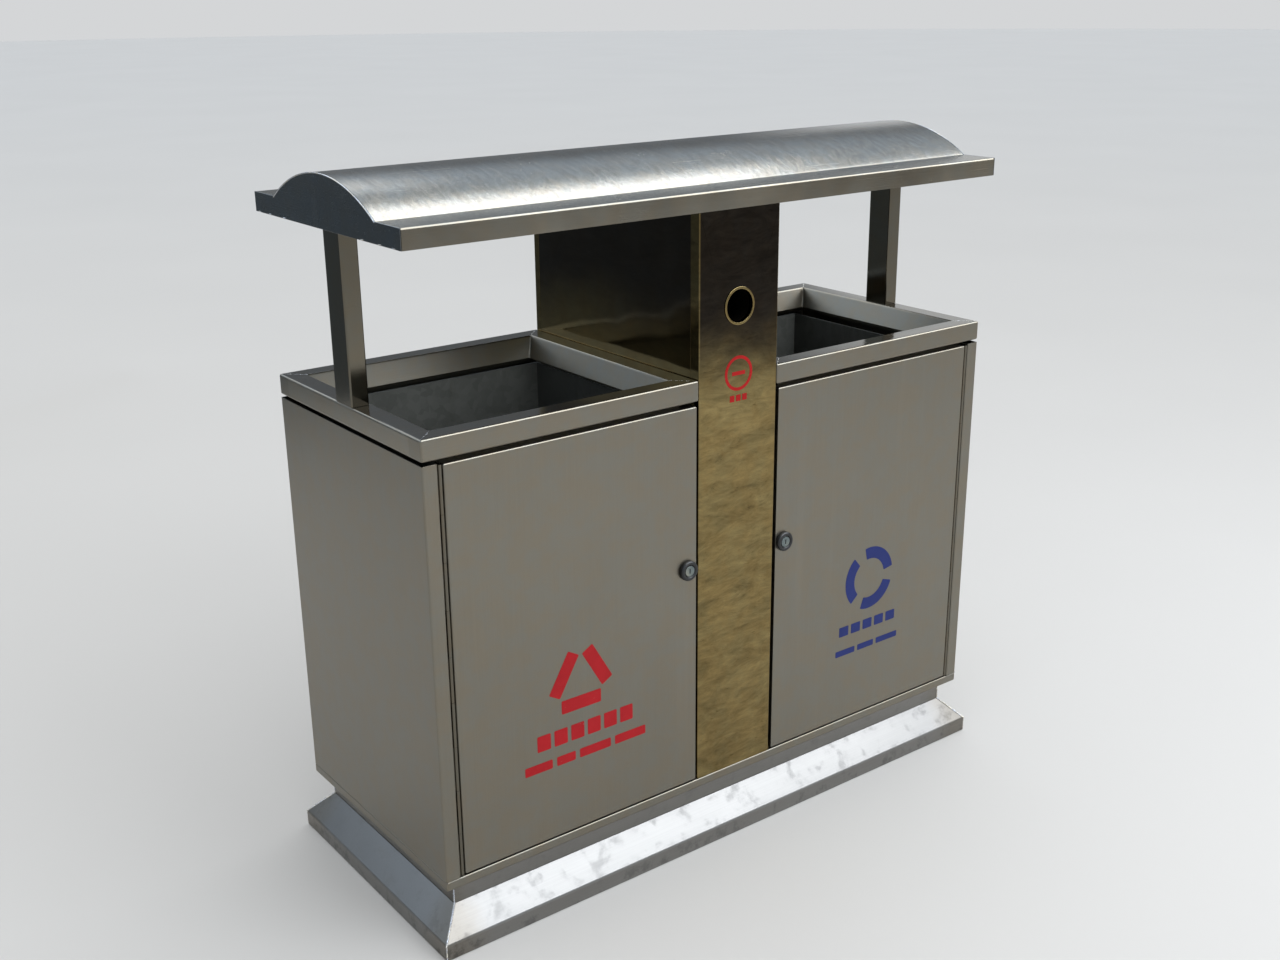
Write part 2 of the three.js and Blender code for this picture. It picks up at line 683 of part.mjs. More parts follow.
// Long hinge: knuckles alternate between the leaf on the stile, owner 0, and the leaf on the
// door, owner 1. Local origin on the pin. The leaf lies on the towards side of it along X.
function hingeLeaf(towards, owner) {
  const near = BARREL_RADIUS + HINGE_SIDE_GAP - FIT_GAP;
  const leaf = block(
    [towards * (near - LEAF_THICKNESS), towards * near],
    [0, LEAF_WIDTH],
    [DOOR_BOTTOM, DOOR_TOP],
  );
  const clearance = BARREL_RADIUS + HINGE_SIDE_GAP;
  const pitch = (DOOR_TOP - DOOR_BOTTOM) / KNUCKLES;
  const own = [];
  const foreign = [];
  for (let i = 0; i < KNUCKLES; i += 1) {
    const z0 = DOOR_BOTTOM + i * pitch;
    if (i % 2 === owner) {
      own.push(rodAlongZ(BARREL_RADIUS, z0 + FIT_GAP / 2, z0 + pitch - FIT_GAP / 2));
    } else {
      foreign.push(rodAlongZ(clearance, z0 - FIT_GAP / 2, z0 + pitch + FIT_GAP / 2));
    }
  }
  const bore = rodAlongZ(PIN_RADIUS + PIN_CLEARANCE, DOOR_BOTTOM - 1, DOOR_TOP + 1);
  return cut(join(leaf, ...own), ...foreign, bore);
}

// ---------- Locks ----------

// All lock pieces have their local origin on the lock axis at the door's front face.
function lockBezel() {
  const bore = LOCK_BODY_RADIUS + FIT_GAP;
  const edge = LOCK_BODY_RADIUS + LOCK_BEZEL_BAND;
  const front = -LOCK_BEZEL_PROUD;
  const back = -FIT_GAP;
  const chamfer = LOCK_BEZEL_CHAMFER;
  return turnedAlongY([
    [bore, back],
    [edge, back],
    [edge, front + chamfer],
    [edge - chamfer, front],
    [bore + chamfer, front],
    [bore, front + chamfer],
    [bore, back],
  ]);
}

function lockCylinder() {
  const face = -LOCK_BEZEL_PROUD + LOCK_FACE_RECESS;
  const shoulder = CAM_SETBACK - FIT_GAP;
  const end = shoulder + FIT_GAP + CAM_THICKNESS + CAM_SCREW;
  const body = turnedAlongY([
    [0, face],
    [LOCK_BODY_RADIUS, face],
    [LOCK_BODY_RADIUS, shoulder],
    [CAM_SEAT_RADIUS, shoulder],
    [CAM_SEAT_RADIUS, end],
    [0, end],
  ]);
  const { width, length, depth } = KEY_SLOT;
  return cut(
    body,
    block([-width / 2, width / 2], [face - 1, face + depth], [-length / 2, length / 2]),
  );
}

// Hexagon nut that clamps the lock in the door sheet.
function lockNut() {
  const inside = SHEET + FIT_GAP;
  return cut(
    rodAlongY(LOCK_BODY_RADIUS + LOCK_NUT_BAND, inside, inside + LOCK_NUT_THICKNESS, 6),
    rodAlongY(LOCK_BODY_RADIUS + FIT_GAP, inside - 1, inside + LOCK_NUT_THICKNESS + 1),
  );
}

// Round-ended tongue, drawn pointing up: the unlocked position.
function lockCam() {
  const half = CAM_WIDTH / 2;
  const plan = new THREE.Shape();
  plan.moveTo(half, 0);
  plan.lineTo(half, CAM_LENGTH);
  plan.lineTo(-half, CAM_LENGTH);
  plan.lineTo(-half, 0);
  plan.absarc(0, 0, half, Math.PI, 2 * Math.PI);
  const seat = new THREE.Path().absarc(0, 0, CAM_SEAT_RADIUS + FIT_GAP, 0, 2 * Math.PI, true);
  plan.holes.push(seat);
  const plate = new THREE.ExtrudeGeometry(plan, {
    depth: CAM_THICKNESS,
    bevelEnabled: false,
    curveSegments: 12,
  });
  return plate.rotateX(Math.PI / 2).translate(0, CAM_SETBACK + CAM_THICKNESS, 0);
}

// Plate behind the slot that the cam enters in the side of the column.
function strikePlate(side) {
  const face = COLUMN_INSIDE;
  const slot = block(
    [side * (face - STRIKE_THICKNESS - 1), side * (face + 1)],
    [CAM_SLOT.front, CAM_SLOT.back],
    [CAM_SLOT.bottom, CAM_SLOT.top],
  );
  const plate = block(
    [side * (face - STRIKE_THICKNESS), side * face],
    [BEHIND_SEAM, CAM_SLOT.back + STRIKE_MARGIN],
    [CAM_SLOT.bottom - STRIKE_MARGIN, CAM_SLOT.top + STRIKE_MARGIN],
  );
  return cut(plate, slot);
}

// ---------- Compartments ----------

function compartment(side, label) {
  const x = side * BAY_CENTRE;
  const linerX = side * LINER_CENTRE_X;
  const named = (base) => `${base}_${label}`;
  const hinge = [side * HINGE_X, HINGE_Y, 0];
  const pin = rodAlongZ(PIN_RADIUS, DOOR_BOTTOM, DOOR_TOP);
  const lock = groupOf(
    piece(named('lock_bezel'), lockBezel(), blackPlastic),
    piece(named('lock_cylinder'), lockCylinder(), zincSteel),
    piece(named('lock_nut'), lockNut(), zincSteel),
    piece(named('lock_cam'), lockCam(), zincSteel),
  );
  lock.position.set(side * LOCK_X, -HALF_DEPTH, LOCK_Z);
  const handle = groupOf(
    piece(named('handle_clip'), handleClip(), zincSteel),
    piece(named('liner_handle'), linerHandle(), zincSteel),
  );
  handle.position.set(linerX, HANDLE_Y, HANDLE_Z);
  return groupOf(
    piece(named('side_panel'), sidePanel(side), brushedSteel),
    piece(named('back_panel'), backPanel(side), brushedSteel),
    piece(named('header'), header(), brushedSteel, [x, 0, 0]),
    piece(named('rim'), rim(), brushedSteel, [x, 0, 0]),
    piece(named('liner_tray'), linerTray(), galvanised, [linerX, LINER_CENTRE_Y, 0]),
    piece(named('liner'), liner(), galvanised, [linerX, LINER_CENTRE_Y, 0]),
    handle,
    piece(named('door'), door(side), brushedSteel),
    piece(named('door_stiffener'), doorStiffener(side), brushedSteel),
    piece(named('hinge_leaf_stile'), hingeLeaf(side, 0), polishedSteel, hinge),
    piece(named('hinge_leaf_door'), hingeLeaf(-side, 1), polishedSteel, hinge),
    piece(named('hinge_pin'), pin, polishedSteel, hinge),
    lock,
    piece(named('strike_plate'), strikePlate(side), zincSteel),
  );
}

// ---------- Centre column ----------

// Sheet across the column with a return down each side. depthSign is -1 for the front.
function columnSheet(depthSign, face, returnDepth) {
  const half = HALF_COLUMN;
  const plan = [
    [-half, face - depthSign * returnDepth],
    [-half, face],
    [half, face],
    [half, face - depthSign * returnDepth],
    [half - SHEET, face - depthSign * returnDepth],
    [half - SHEET, face - depthSign * SHEET],
    [-half + SHEET, face - depthSign * SHEET],
    [-half + SHEET, face - depthSign * returnDepth],
  ];
  return raised(outline(plan), COLUMN_BOTTOM, POST_TOP);
}

function columnFront() {
  const hole = rodAlongY(ASH_HOLE_RADIUS, COLUMN_FRONT - 1, COLUMN_FRONT + SHEET + 1);
  return cut(
    columnSheet(-1, COLUMN_FRONT, COLUMN_FRONT_RETURN),
    hole.translate(0, 0, ASH_HOLE_Z),
  );
}

// Side sheet, stepped in at both edges to pass behind the returns.
function columnSide(side) {
  const face = HALF_COLUMN;
  const step = COLUMN_INSIDE;
  const front = SEAM_FRONT;
  const back = SEAM_BACK;
  const plan = [
    [face, front],
    [face, back],
    [step, back],
    [step, back + JOGGLE_OVERLAP],
    [step - SHEET, back + JOGGLE_OVERLAP],
    [step - SHEET, back - SHEET],
    [face - SHEET, back - SHEET],
    [face - SHEET, front + SHEET],
    [step - SHEET, front + SHEET],
    [step - SHEET, front - JOGGLE_OVERLAP],
    [step, front - JOGGLE_OVERLAP],
    [step, front],
  ];
  return raised(outline(plan.map(([x, y]) => [side * x, y])), COLUMN_BOTTOM, POST_TOP);
}

const sideCutter = (side, [y0, y1], [z0, z1]) =>
  block([side * (HALF_COLUMN - 3 * SHEET), side * (HALF_COLUMN + 1)], [y0, y1], [z0, z1]);

const camSlot = (side) =>
  sideCutter(side, [CAM_SLOT.front, CAM_SLOT.back], [CAM_SLOT.bottom, CAM_SLOT.top]);

// Hatch through which the ash can comes out into the compartment.
function ashHatch(side) {
  const back = CHUTE_Y + ASH_CAN_RADIUS + HATCH_MARGIN;
  const top = Math.min(ASH_CAN_TOP + HATCH_MARGIN, HEADER_BOTTOM);
  return sideCutter(side, [BEHIND_SEAM, back], [ASH_CAN_BOTTOM, top]);
}

// Flanged sleeve that lines the ash hole.
function ashBezel() {
  const outer = ASH_HOLE_RADIUS - FIT_GAP;
  const front = COLUMN_FRONT - FIT_GAP - ASH_BEZEL_WALL;
  const inner = outer - ASH_BEZEL_WALL;
  return turnedAlongY([
    [inner, front],
    [ASH_HOLE_RADIUS + ASH_BEZEL_LIP, front],
    [ASH_HOLE_RADIUS + ASH_BEZEL_LIP, front + ASH_BEZEL_WALL],
    [outer, front + ASH_BEZEL_WALL],
    [outer, front + ASH_BEZEL_DEPTH],
    [inner, front + ASH_BEZEL_DEPTH],
    [inner, front],
  ]).translate(0, 0, ASH_HOLE_Z);
}

// Open pipe from the ash hole back and down to the ash can.
function ashChute() {
  const elbow = new THREE.Vector3(0, CHUTE_Y, ASH_HOLE_Z);
  const path = new THREE.CurvePath();
  const first = new THREE.Vector3(0, CHUTE_START, ASH_HOLE_Z);
  const bendStart = new THREE.Vector3(0, CHUTE_Y - CHUTE_BEND, ASH_HOLE_Z);
  const bendEnd = new THREE.Vector3(0, CHUTE_Y, ASH_HOLE_Z - CHUTE_BEND);
  path.add(new THREE.LineCurve3(first, bendStart));
  path.add(new THREE.QuadraticBezierCurve3(bendStart, elbow, bendEnd));
  path.add(new THREE.LineCurve3(bendEnd, new THREE.Vector3(0, CHUTE_Y, CHUTE_END)));
  const ring = new THREE.Shape().absarc(0, 0, CHUTE_RADIUS, 0, 2 * Math.PI);
  ring.holes.push(new THREE.Path().absarc(0, 0, CHUTE_RADIUS - SHEET, 0, 2 * Math.PI, true));
  return new THREE.ExtrudeGeometry(ring, { steps: 10, curveSegments: 9, extrudePath: path });
}

function ashCan() {
  const can = rodAlongZ(ASH_CAN_RADIUS, ASH_CAN_BOTTOM, ASH_CAN_TOP, ROUND_SIDES);
  const hollow = rodAlongZ(
    ASH_CAN_RADIUS - LINER_SHEET,
    ASH_CAN_BOTTOM + LINER_SHEET,
    ASH_CAN_TOP + 1,
    ROUND_SIDES,
  );
  return cut(can, hollow);
}

// Shelf under the ash can, folded down along both sides of the column.
function ashShelf() {
  const half = COLUMN_INSIDE;
  const y0 = BEHIND_SEAM;
  const y1 = CHUTE_Y + ASH_CAN_RADIUS + ASH_SHELF_MARGIN;
  const shelf = block([-half, half], [y0, y1], [ASH_SHELF_TOP - ASH_SHELF_FLANGE, ASH_SHELF_TOP]);
  const room = block(
    [-half + SHEET, half - SHEET],
    [y0 - 1, y1 + 1],
    [ASH_SHELF_TOP - ASH_SHELF_FLANGE - 1, ASH_SHELF_TOP - SHEET],
  );
  return cut(shelf, room);
}

const column = groupOf(
  piece('column_front', columnFront(), goldMirror),
  piece('column_back', columnSheet(1, COLUMN_BACK, COLUMN_BACK_RETURN), goldMirror),
  piece('column_side_left', cut(columnSide(-1), camSlot(-1), ashHatch(-1)), goldMirror),
  piece('column_side_right', cut(columnSide(1), camSlot(1), ashHatch(1)), goldMirror),
  piece('ash_bezel', ashBezel(), polishedSteel),
  piece('ash_chute', ashChute(), galvanised),
  piece('ash_can', ashCan(), galvanised, [0, CHUTE_Y, 0]),
  piece('ash_shelf', ashShelf(), galvanised),
);

// ---------- Canopy ----------

function post() {
  const half = POST_WIDTH / 2;
  const deep = POST_DEPTH / 2;
  return cut(
    block([-half, half], [-deep, deep], [POST_BOTTOM, POST_TOP]),
    block(
      [-half + SHEET, half - SHEET],
      [-deep + SHEET, deep - SHEET],
      [POST_BOTTOM - 1, POST_TOP + 1],
    ),
  );
}

// Arc of the roof between the ledges, at the given radius, from front to back.
function roofArc(shape, radius, from, to) {
  shape.absarc(0, ARCH_CENTRE_Z, radius, from, to, from > to);
}

const ROOF_HALF_ANGLE = Math.asin(ARCH_HALF_SPAN / ARCH_RADIUS);
const ROOF_FRONT_ANGLE = Math.PI / 2 + ROOF_HALF_ANGLE;
const ROOF_BACK_ANGLE = Math.PI / 2 - ROOF_HALF_ANGLE;

// Flat end plate: fascia strip and arch in one.
function canopyEnd() {
  const shape = new THREE.Shape();
  shape.moveTo(-CANOPY_HALF_DEPTH, CANOPY_BOTTOM);
  shape.lineTo(CANOPY_HALF_DEPTH, CANOPY_BOTTOM);
  shape.lineTo(CANOPY_HALF_DEPTH, LEDGE_TOP);
  shape.lineTo(ARCH_HALF_SPAN, LEDGE_TOP);
  roofArc(shape, ARCH_RADIUS, ROOF_BACK_ANGLE, ROOF_FRONT_ANGLE);
  shape.lineTo(-CANOPY_HALF_DEPTH, LEDGE_TOP);
  return runAlongX(shape, -SHEET / 2, SHEET / 2);
}

// Fascia and flat ledge, folded from one strip. depthSign is -1 for the front.
function canopyLedge(depthSign) {
  const face = depthSign * CANOPY_HALF_DEPTH;
  const edge = depthSign * (ARCH_HALF_SPAN + FIT_GAP);
  const shape = outline([
    [face, CANOPY_BOTTOM],
    [face, LEDGE_TOP],
    [edge, LEDGE_TOP],
    [edge, LEDGE_TOP - SHEET],
    [face - depthSign * SHEET, LEDGE_TOP - SHEET],
    [face - depthSign * SHEET, CANOPY_BOTTOM],
  ]);
  return runAlongX(shape, -CANOPY_BAY, CANOPY_BAY);
}

function canopyRoof() {
  const shape = new THREE.Shape();
  roofArc(shape, ARCH_RADIUS, ROOF_BACK_ANGLE, ROOF_FRONT_ANGLE);
  roofArc(shape, ARCH_RADIUS - SHEET, ROOF_FRONT_ANGLE, ROOF_BACK_ANGLE);
  return runAlongX(shape, -CANOPY_BAY, CANOPY_BAY);
}

// Tray that closes the canopy from below and rests on the posts and the column.
function canopySoffit() {
  const x = CANOPY_BAY;
  const y = CANOPY_HALF_DEPTH - SHEET - FIT_GAP;
  return cut(
    block([-x, x], [-y, y], [CANOPY_BOTTOM, CANOPY_BOTTOM + SOFFIT_UPSTAND]),
    block(
      [-x + SHEET, x - SHEET],
      [-y + SHEET, y - SHEET],
      [CANOPY_BOTTOM + SHEET, CANOPY_BOTTOM + SOFFIT_UPSTAND + 1],
    ),
  );
}

// Plate over a post that carries the roof sheet.
function canopyRib() {
  const under = ARCH_RADIUS - SHEET - FIT_GAP;
  const bottom = CANOPY_BOTTOM + SHEET + FIT_GAP;
  const shoulder = LEDGE_TOP - SHEET - FIT_GAP;
  const halfAngle = Math.acos((shoulder - ARCH_CENTRE_Z) / under);
  const reach = under * Math.sin(halfAngle);
  const shape = new THREE.Shape();
  shape.moveTo(-reach, bottom);
  shape.lineTo(reach, bottom);
  shape.lineTo(reach, shoulder);
  roofArc(shape, under, Math.PI / 2 - halfAngle, Math.PI / 2 + halfAngle);
  return runAlongX(shape, -RIB_SHEET / 2, RIB_SHEET / 2);
}

const canopyEndX = CANOPY_HALF_LENGTH - SHEET / 2;
const canopy = groupOf(
  piece('post_left', post(), polishedSteel, [-POST_X, 0, 0]),
  piece('post_right', post(), polishedSteel, [POST_X, 0, 0]),
  piece('canopy_ledge_front', canopyLedge(-1), brushedSteel),
  piece('canopy_ledge_back', canopyLedge(1), brushedSteel),
  piece('canopy_end_left', canopyEnd(), brushedSteel, [-canopyEndX, 0, 0]),
  piece('canopy_end_right', canopyEnd(), brushedSteel, [canopyEndX, 0, 0]),
  piece('canopy_roof', canopyRoof(), brushedSteel),
  piece('canopy_soffit', canopySoffit(), brushedSteel),
  piece('canopy_rib_left', canopyRib(), brushedSteel, [-POST_X, 0, 0]),
  piece('canopy_rib_right', canopyRib(), brushedSteel, [POST_X, 0, 0]),
);

// ---------- Assembly ----------

const station = groupOf(
  plinth,
  piece('floor_pan', floorPan(), brushedSteel),
  compartment(-1, 'left'),
  compartment(1, 'right'),
  column,
  canopy,
);
station.name = 'recycling_bin_station';

export default station;
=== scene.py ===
"""Recycling station in sheet steel: two bins under one canopy, with an ash column between them.

Every visible sheet is a copy of its CAD node with rolled folds and eased edges. The weld beads and the
coloured signs are pieces of their own. Lengths are in millimetres up to the helpers that place a shape,
and in metres from there on.
"""

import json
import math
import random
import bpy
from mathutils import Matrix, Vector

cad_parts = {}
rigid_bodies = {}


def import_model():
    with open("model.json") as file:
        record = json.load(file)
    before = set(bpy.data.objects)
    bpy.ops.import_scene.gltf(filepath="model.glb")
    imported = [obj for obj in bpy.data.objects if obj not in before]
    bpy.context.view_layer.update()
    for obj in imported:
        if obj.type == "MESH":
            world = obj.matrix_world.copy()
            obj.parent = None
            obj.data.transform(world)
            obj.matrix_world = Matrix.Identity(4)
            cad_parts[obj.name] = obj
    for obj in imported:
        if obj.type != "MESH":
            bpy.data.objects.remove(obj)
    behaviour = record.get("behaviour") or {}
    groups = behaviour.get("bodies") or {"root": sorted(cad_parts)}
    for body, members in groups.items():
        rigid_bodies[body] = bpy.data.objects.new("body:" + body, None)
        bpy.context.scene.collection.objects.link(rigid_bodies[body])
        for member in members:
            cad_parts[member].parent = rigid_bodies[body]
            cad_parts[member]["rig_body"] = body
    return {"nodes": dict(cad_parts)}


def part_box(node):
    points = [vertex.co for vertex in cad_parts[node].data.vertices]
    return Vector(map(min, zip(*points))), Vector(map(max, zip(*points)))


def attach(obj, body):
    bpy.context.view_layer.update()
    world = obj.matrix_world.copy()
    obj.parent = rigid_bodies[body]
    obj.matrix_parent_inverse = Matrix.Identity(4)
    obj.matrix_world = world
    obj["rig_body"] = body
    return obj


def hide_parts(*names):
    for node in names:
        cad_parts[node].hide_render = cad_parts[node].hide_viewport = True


bl_info = {
    "name": "Recycling Station",
    "version": (1, 0, 0),
    "blender": (4, 5, 0),
    "location": "View3D > Sidebar > Recycling Station",
    "description": "Finishes a sheet-steel recycling station around its packed frame",
    "category": "Object",
}

import bmesh
import bpy
from bpy.props import FloatProperty, FloatVectorProperty, PointerProperty
from mathutils import Matrix, Vector

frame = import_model()
NODES = frame["nodes"]
MM = 0.001
SIDES = {"left": -1, "right": 1}


def corner_mm(node, which):
    """One corner of a node's box, in millimetres: 0 is the lowest and 1 the highest."""
    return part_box(node)[which] / MM


# Places in the packed frame, in millimetres.
PLINTH_OUT = corner_mm("plinth_skirt", 1)
NECK_OUT = corner_mm("base_frame", 1)
RIM_OUT = corner_mm("rim_right", 1)
CANOPY_OUT = corner_mm("canopy_end_right", 1)
CANOPY_FOOT = corner_mm("canopy_ledge_front", 0).z
CANOPY_STEP = corner_mm("canopy_roof", 0).z
DOOR_FRONT = corner_mm("door_left", 0).y
COLUMN_FRONT = corner_mm("column_front", 0).y

# Widths that a box doesn't show, in millimetres: the rim's flat lip and the plinth's upright flange.
RIM_LIP = 32.0
FLANGE_HEIGHT = 26.0

# Fine work, in millimetres: the seam on the canopy's ends, and how deep a sign's film is sunk.
SEAM_RADIUS = 0.9
FILM_SUNK = 0.1

# Places that shaders compare Object coordinates with, in metres.
COLUMN_HALF = corner_mm("column_front", 1).x * MM
RIM_TOP = RIM_OUT.z * MM
RIM_MOUTH = (RIM_OUT.y - RIM_LIP) * MM


# ------------------------------------------------------------------------------------------------
# Sizes and colours that a user would change
# ------------------------------------------------------------------------------------------------


def length_setting(name, text, millimetres):
    """A length in the panel, kept in metres and written here in millimetres."""
    return FloatProperty(
        name=name, description=text, default=millimetres * MM, min=0.0, subtype="DISTANCE", unit="LENGTH"
    )


def colour_setting(name, text, colour):
    """A linear colour in the panel."""
    return FloatVectorProperty(
        name=name, description=text, default=colour, min=0.0, max=1.0, size=3, subtype="COLOR"
    )


def amount_setting(name, text, amount, highest=1.0):
    """A plain number in the panel."""
    return FloatProperty(name=name, description=text, default=amount, min=0.0, max=highest)


class StationSheets(bpy.types.PropertyGroup):
    """Folds, edges and steel colours of the sheet pieces."""

    fold_radius: length_setting("Fold radius", "Outside radius of the pressed folds", 2.8)
    edge_radius: length_setting("Edge radius", "How far the cut edges are eased", 0.25)
    steel: colour_setting("Steel", "Brushed steel of the doors and panels", (0.212, 0.194, 0.158))
    cool_steel: colour_setting("Cool steel", "Steel of the arched roof", (0.222, 0.208, 0.178))
    slate_steel: colour_setting("Slate steel", "End plates of the canopy", (0.165, 0.180, 0.190))
    polished: colour_setting("Polished steel", "Posts and hinges", (0.142, 0.128, 0.100))
    gold: colour_setting("Gold steel", "Gold-toned sheets of the column", (0.205, 0.152, 0.064))
    plinth: colour_setting("Plinth steel", "Skirt and base frame", (0.226, 0.220, 0.208))
    # Colour of the painted dark reflection over the column's upper part, and of the soot in the ash hole
    # and chute.
    tarnish: colour_setting("Tarnish", "Smoked upper part of the column", (0.026, 0.021, 0.016))
    galvanised: colour_setting("Galvanised", "Liners, ash can and their shelf", (0.190, 0.200, 0.185))
    zinc: colour_setting("Zinc", "Plated hardware", (0.500, 0.505, 0.490))
    lock_face: colour_setting("Lock face", "Turning cylinders of the locks", (0.190, 0.225, 0.225))
    grain: amount_setting("Grain", "Strength of the brushed grain", 0.5)
    smudges: amount_setting("Smudges", "Strength of the fingerprints and water marks", 0.5)


class StationSigns(bpy.types.PropertyGroup):
    """Signs on the doors and the column."""

    film: length_setting("Film thickness", "How far a sign stands off its sheet", 0.22)
    red: colour_setting("Red film", "Sign on the left door", (0.330, 0.008, 0.012))
    blue: colour_setting("Blue film", "Sign on the right door", (0.014, 0.024, 0.125))
    dark_red: colour_setting("Dark red film", "Sign on the column", (0.330, 0.006, 0.006))
    black: colour_setting("Black plastic", "Lock bezels", (0.006, 0.006, 0.006))


class StationWelds(bpy.types.PropertyGroup):
    """Weld beads."""

    bead_radius: length_setting("Bead radius", "Half the width of a bead on the plinth", 1.7)
    fine_radius: length_setting("Fine bead radius", "Half the width of a ground bead on a rim", 0.55)
    metal: colour_setting("Weld metal", "Colour of the beads", (0.620, 0.600, 0.560))


class StationStage(bpy.types.PropertyGroup):
    """Floor, light and camera."""

    floor: colour_setting("Floor", "Colour of the floor", (0.580, 0.580, 0.570))
    key_power: amount_setting("Key light", "Radiance of the soft boxes that the steel mirrors", 5.2, 50.0)
    fill_power: amount_setting("Fill light", "Power of the soft box that casts the shadows", 46.0, 1000.0)
    back_power: amount_setting("Back light", "Radiance of the soft box behind", 1.4, 50.0)
    ambient: amount_setting("Ambient", "Brightness of the room on dull surfaces", 1.15, 5.0)
    sky: amount_setting("Sky", "Brightness of the room overhead", 0.95, 5.0)
    horizon: amount_setting("Horizon", "Brightness of the room at eye level", 0.19, 5.0)
    front: amount_setting("Front", "Brightness of the room in front at eye level", 0.70, 5.0)
    lens: FloatProperty(name="Lens", description="Focal length in millimetres", default=40.85, min=10.0)


SETTINGS = {
    "station_sheets": StationSheets,
    "station_signs": StationSigns,
    "station_welds": StationWelds,
    "station_stage": StationStage,
}


# ------------------------------------------------------------------------------------------------
# Shader recipes
# ------------------------------------------------------------------------------------------------


class Signal:
    """A node's output. Sums, differences and products of it add Math nodes."""

    def __init__(self, recipe, socket):
        self.recipe = recipe
        self.socket = socket

    def maths(self, operation, first, second=0.0):
        """One Math node."""
        return self.recipe.add("ShaderNodeMath", {"operation": operation}, {0: first, 1: second})

    def __add__(self, other):
        return self.maths("ADD", self, other)

    def __radd__(self, other):
        return self.maths("ADD", other, self)

    def __sub__(self, other):
        return self.maths("SUBTRACT", self, other)

    def __rsub__(self, other):
        return self.maths("SUBTRACT", other, self)

    def __mul__(self, other):
        return self.maths("MULTIPLY", self, other)

    def __rmul__(self, other):
        return self.maths("MULTIPLY", other, self)

    def magnitude(self):
        """The value without its sign."""
        return self.maths("ABSOLUTE", self)

    def at_least(self, other):
        """The value, or the other one where that is higher."""
        return self.maths("MAXIMUM", self, other)

    def over(self, low, high):
        """0 below low, 1 above high, smooth between them. High below low turns it round."""
        flip = low > high
        low, high = min(low, high), max(low, high)
        sockets = {"Value": self, "From Min": low, "From Max": high, "To Min": 0.0, "To Max": 1.0}
        result = self.recipe.add("ShaderNodeMapRange", {"interpolation_type": "SMOOTHSTEP"}, sockets)
        return 1.0 - result if flip else result


class Recipe:
    """Builds the node tree of one material or of the world."""

    def __init__(self, tree):
        self.tree = tree
        tree.nodes.clear()

    def add(self, kind, settings=None, sockets=None, output=0):
        """Adds a node: its settings first, then the values or links of its sockets."""
        node = self.tree.nodes.new(kind)
        for name, value in (settings or {}).items():
            setattr(node, name, value)
        for name, value in (sockets or {}).items():
            socket = self._find(node.inputs, name)
            if isinstance(value, Signal):
                self.tree.links.new(value.socket, socket)
            else:
                socket.default_value = value
        return Signal(self, self._find(node.outputs, output)) if node.outputs else None

    @staticmethod
    def _find(sockets, name):
        """A socket by its number, or the enabled one by its name."""
        if isinstance(name, int):
            return sockets[name]
        return next(s for s in sockets if s.name == name and s.enabled)

    def place(self, scale=(1.0, 1.0, 1.0), shift=(0.0, 0.0, 0.0), turn=(0.0, 0.0, 0.0)):
        """Object coordinates, scaled, turned and shifted."""
        where = self.add("ShaderNodeTexCoord", output="Object")
        sockets = {"Vector": where, "Scale": scale, "Location": shift, "Rotation": turn}
        return self.add("ShaderNodeMapping", None, sockets)

    def noise(self, where, scale, detail=3.0, roughness=0.5, distortion=0.0):
        """Noise between 0 and 1, about 0.5 on average."""
        sockets = {
            "Vector": where,
            "Scale": scale,
            "Detail": detail,
            "Roughness": roughness,
            "Distortion": distortion,
        }
        return self.add("ShaderNodeTexNoise", None, sockets)

    def axis(self, where, name):
        """One coordinate of a vector."""
        return self.add("ShaderNodeSeparateXYZ", None, {0: where}, output=name)

    def shade(self, colour, brightness):
        """A colour made lighter or darker."""
        return self.add("ShaderNodeVectorMath", {"operation": "SCALE"}, {0: colour, "Scale": brightness})

    def blend(self, amount, first, second, method="MIX"):
        """Two colours mixed."""
        settings = {"data_type": "RGBA", "blend_type": method, "clamp_factor": True}
        first, second = (c if isinstance(c, Signal) else (*c, 1.0) for c in (first, second))
        return self.add("ShaderNodeMix", settings, {"Factor": amount, "A": first, "B": second}, "Result")

    def bump(self, height):
        """A normal from a height in metres."""
        sockets = {"Height": height, "Strength": 1.0, "Distance": 1.0}
        return self.add("ShaderNodeBump", None, sockets)

    def surface(self, **sockets):
        """The Principled shader and the output. An underscore in a name stands for a space."""
        named = {name.replace("_", " "): value for name, value in sockets.items()}
        shader = self.add("ShaderNodeBsdfPrincipled", None, named)
        self.add("ShaderNodeOutputMaterial", None, {"Surface": shader})


def grain_scale(along, across):
    """Mapping scale for a grain that runs along one axis, fine across it."""
    long_run = 5.0
    return tuple(long_run if axis == along else across for axis in "XYZ")


def rim_band(r, looks):
    """How much lighter a rim is on the band that funnels into its mouth."""
    across, level = (r.axis(r.place(), name) for name in "YZ")
    inside = across.magnitude().over(RIM_MOUTH + 0.001, RIM_MOUTH - 0.0005)
    below_lip = level.over(RIM_TOP - 0.0008, RIM_TOP - 0.003)
    return 1.0 + inside * below_lip * looks["band_lift"]


def smoked(r, colour, clouds, looks):
    """The colour with smoke over its upper part, rubbed off along the upright folds if they are worn."""
    height = r.axis(r.place(), "Z") + (clouds - 0.5) * 0.16
    smoke = height.over(looks["smoke_from"], looks["smoke_to"])
    if "worn_edge" in looks:
        from_middle = r.axis(r.place(), "X").magnitude()
        worn = from_middle.over(COLUMN_HALF - 0.0024, COLUMN_HALF - 0.0008)
        smoke = smoke * (1.0 - worn * looks["worn_edge"])
    tarnish = bpy.context.scene.station_sheets.tarnish
    return r.blend(smoke, colour, tuple(c * looks["smoke_tone"] for c in tarnish))


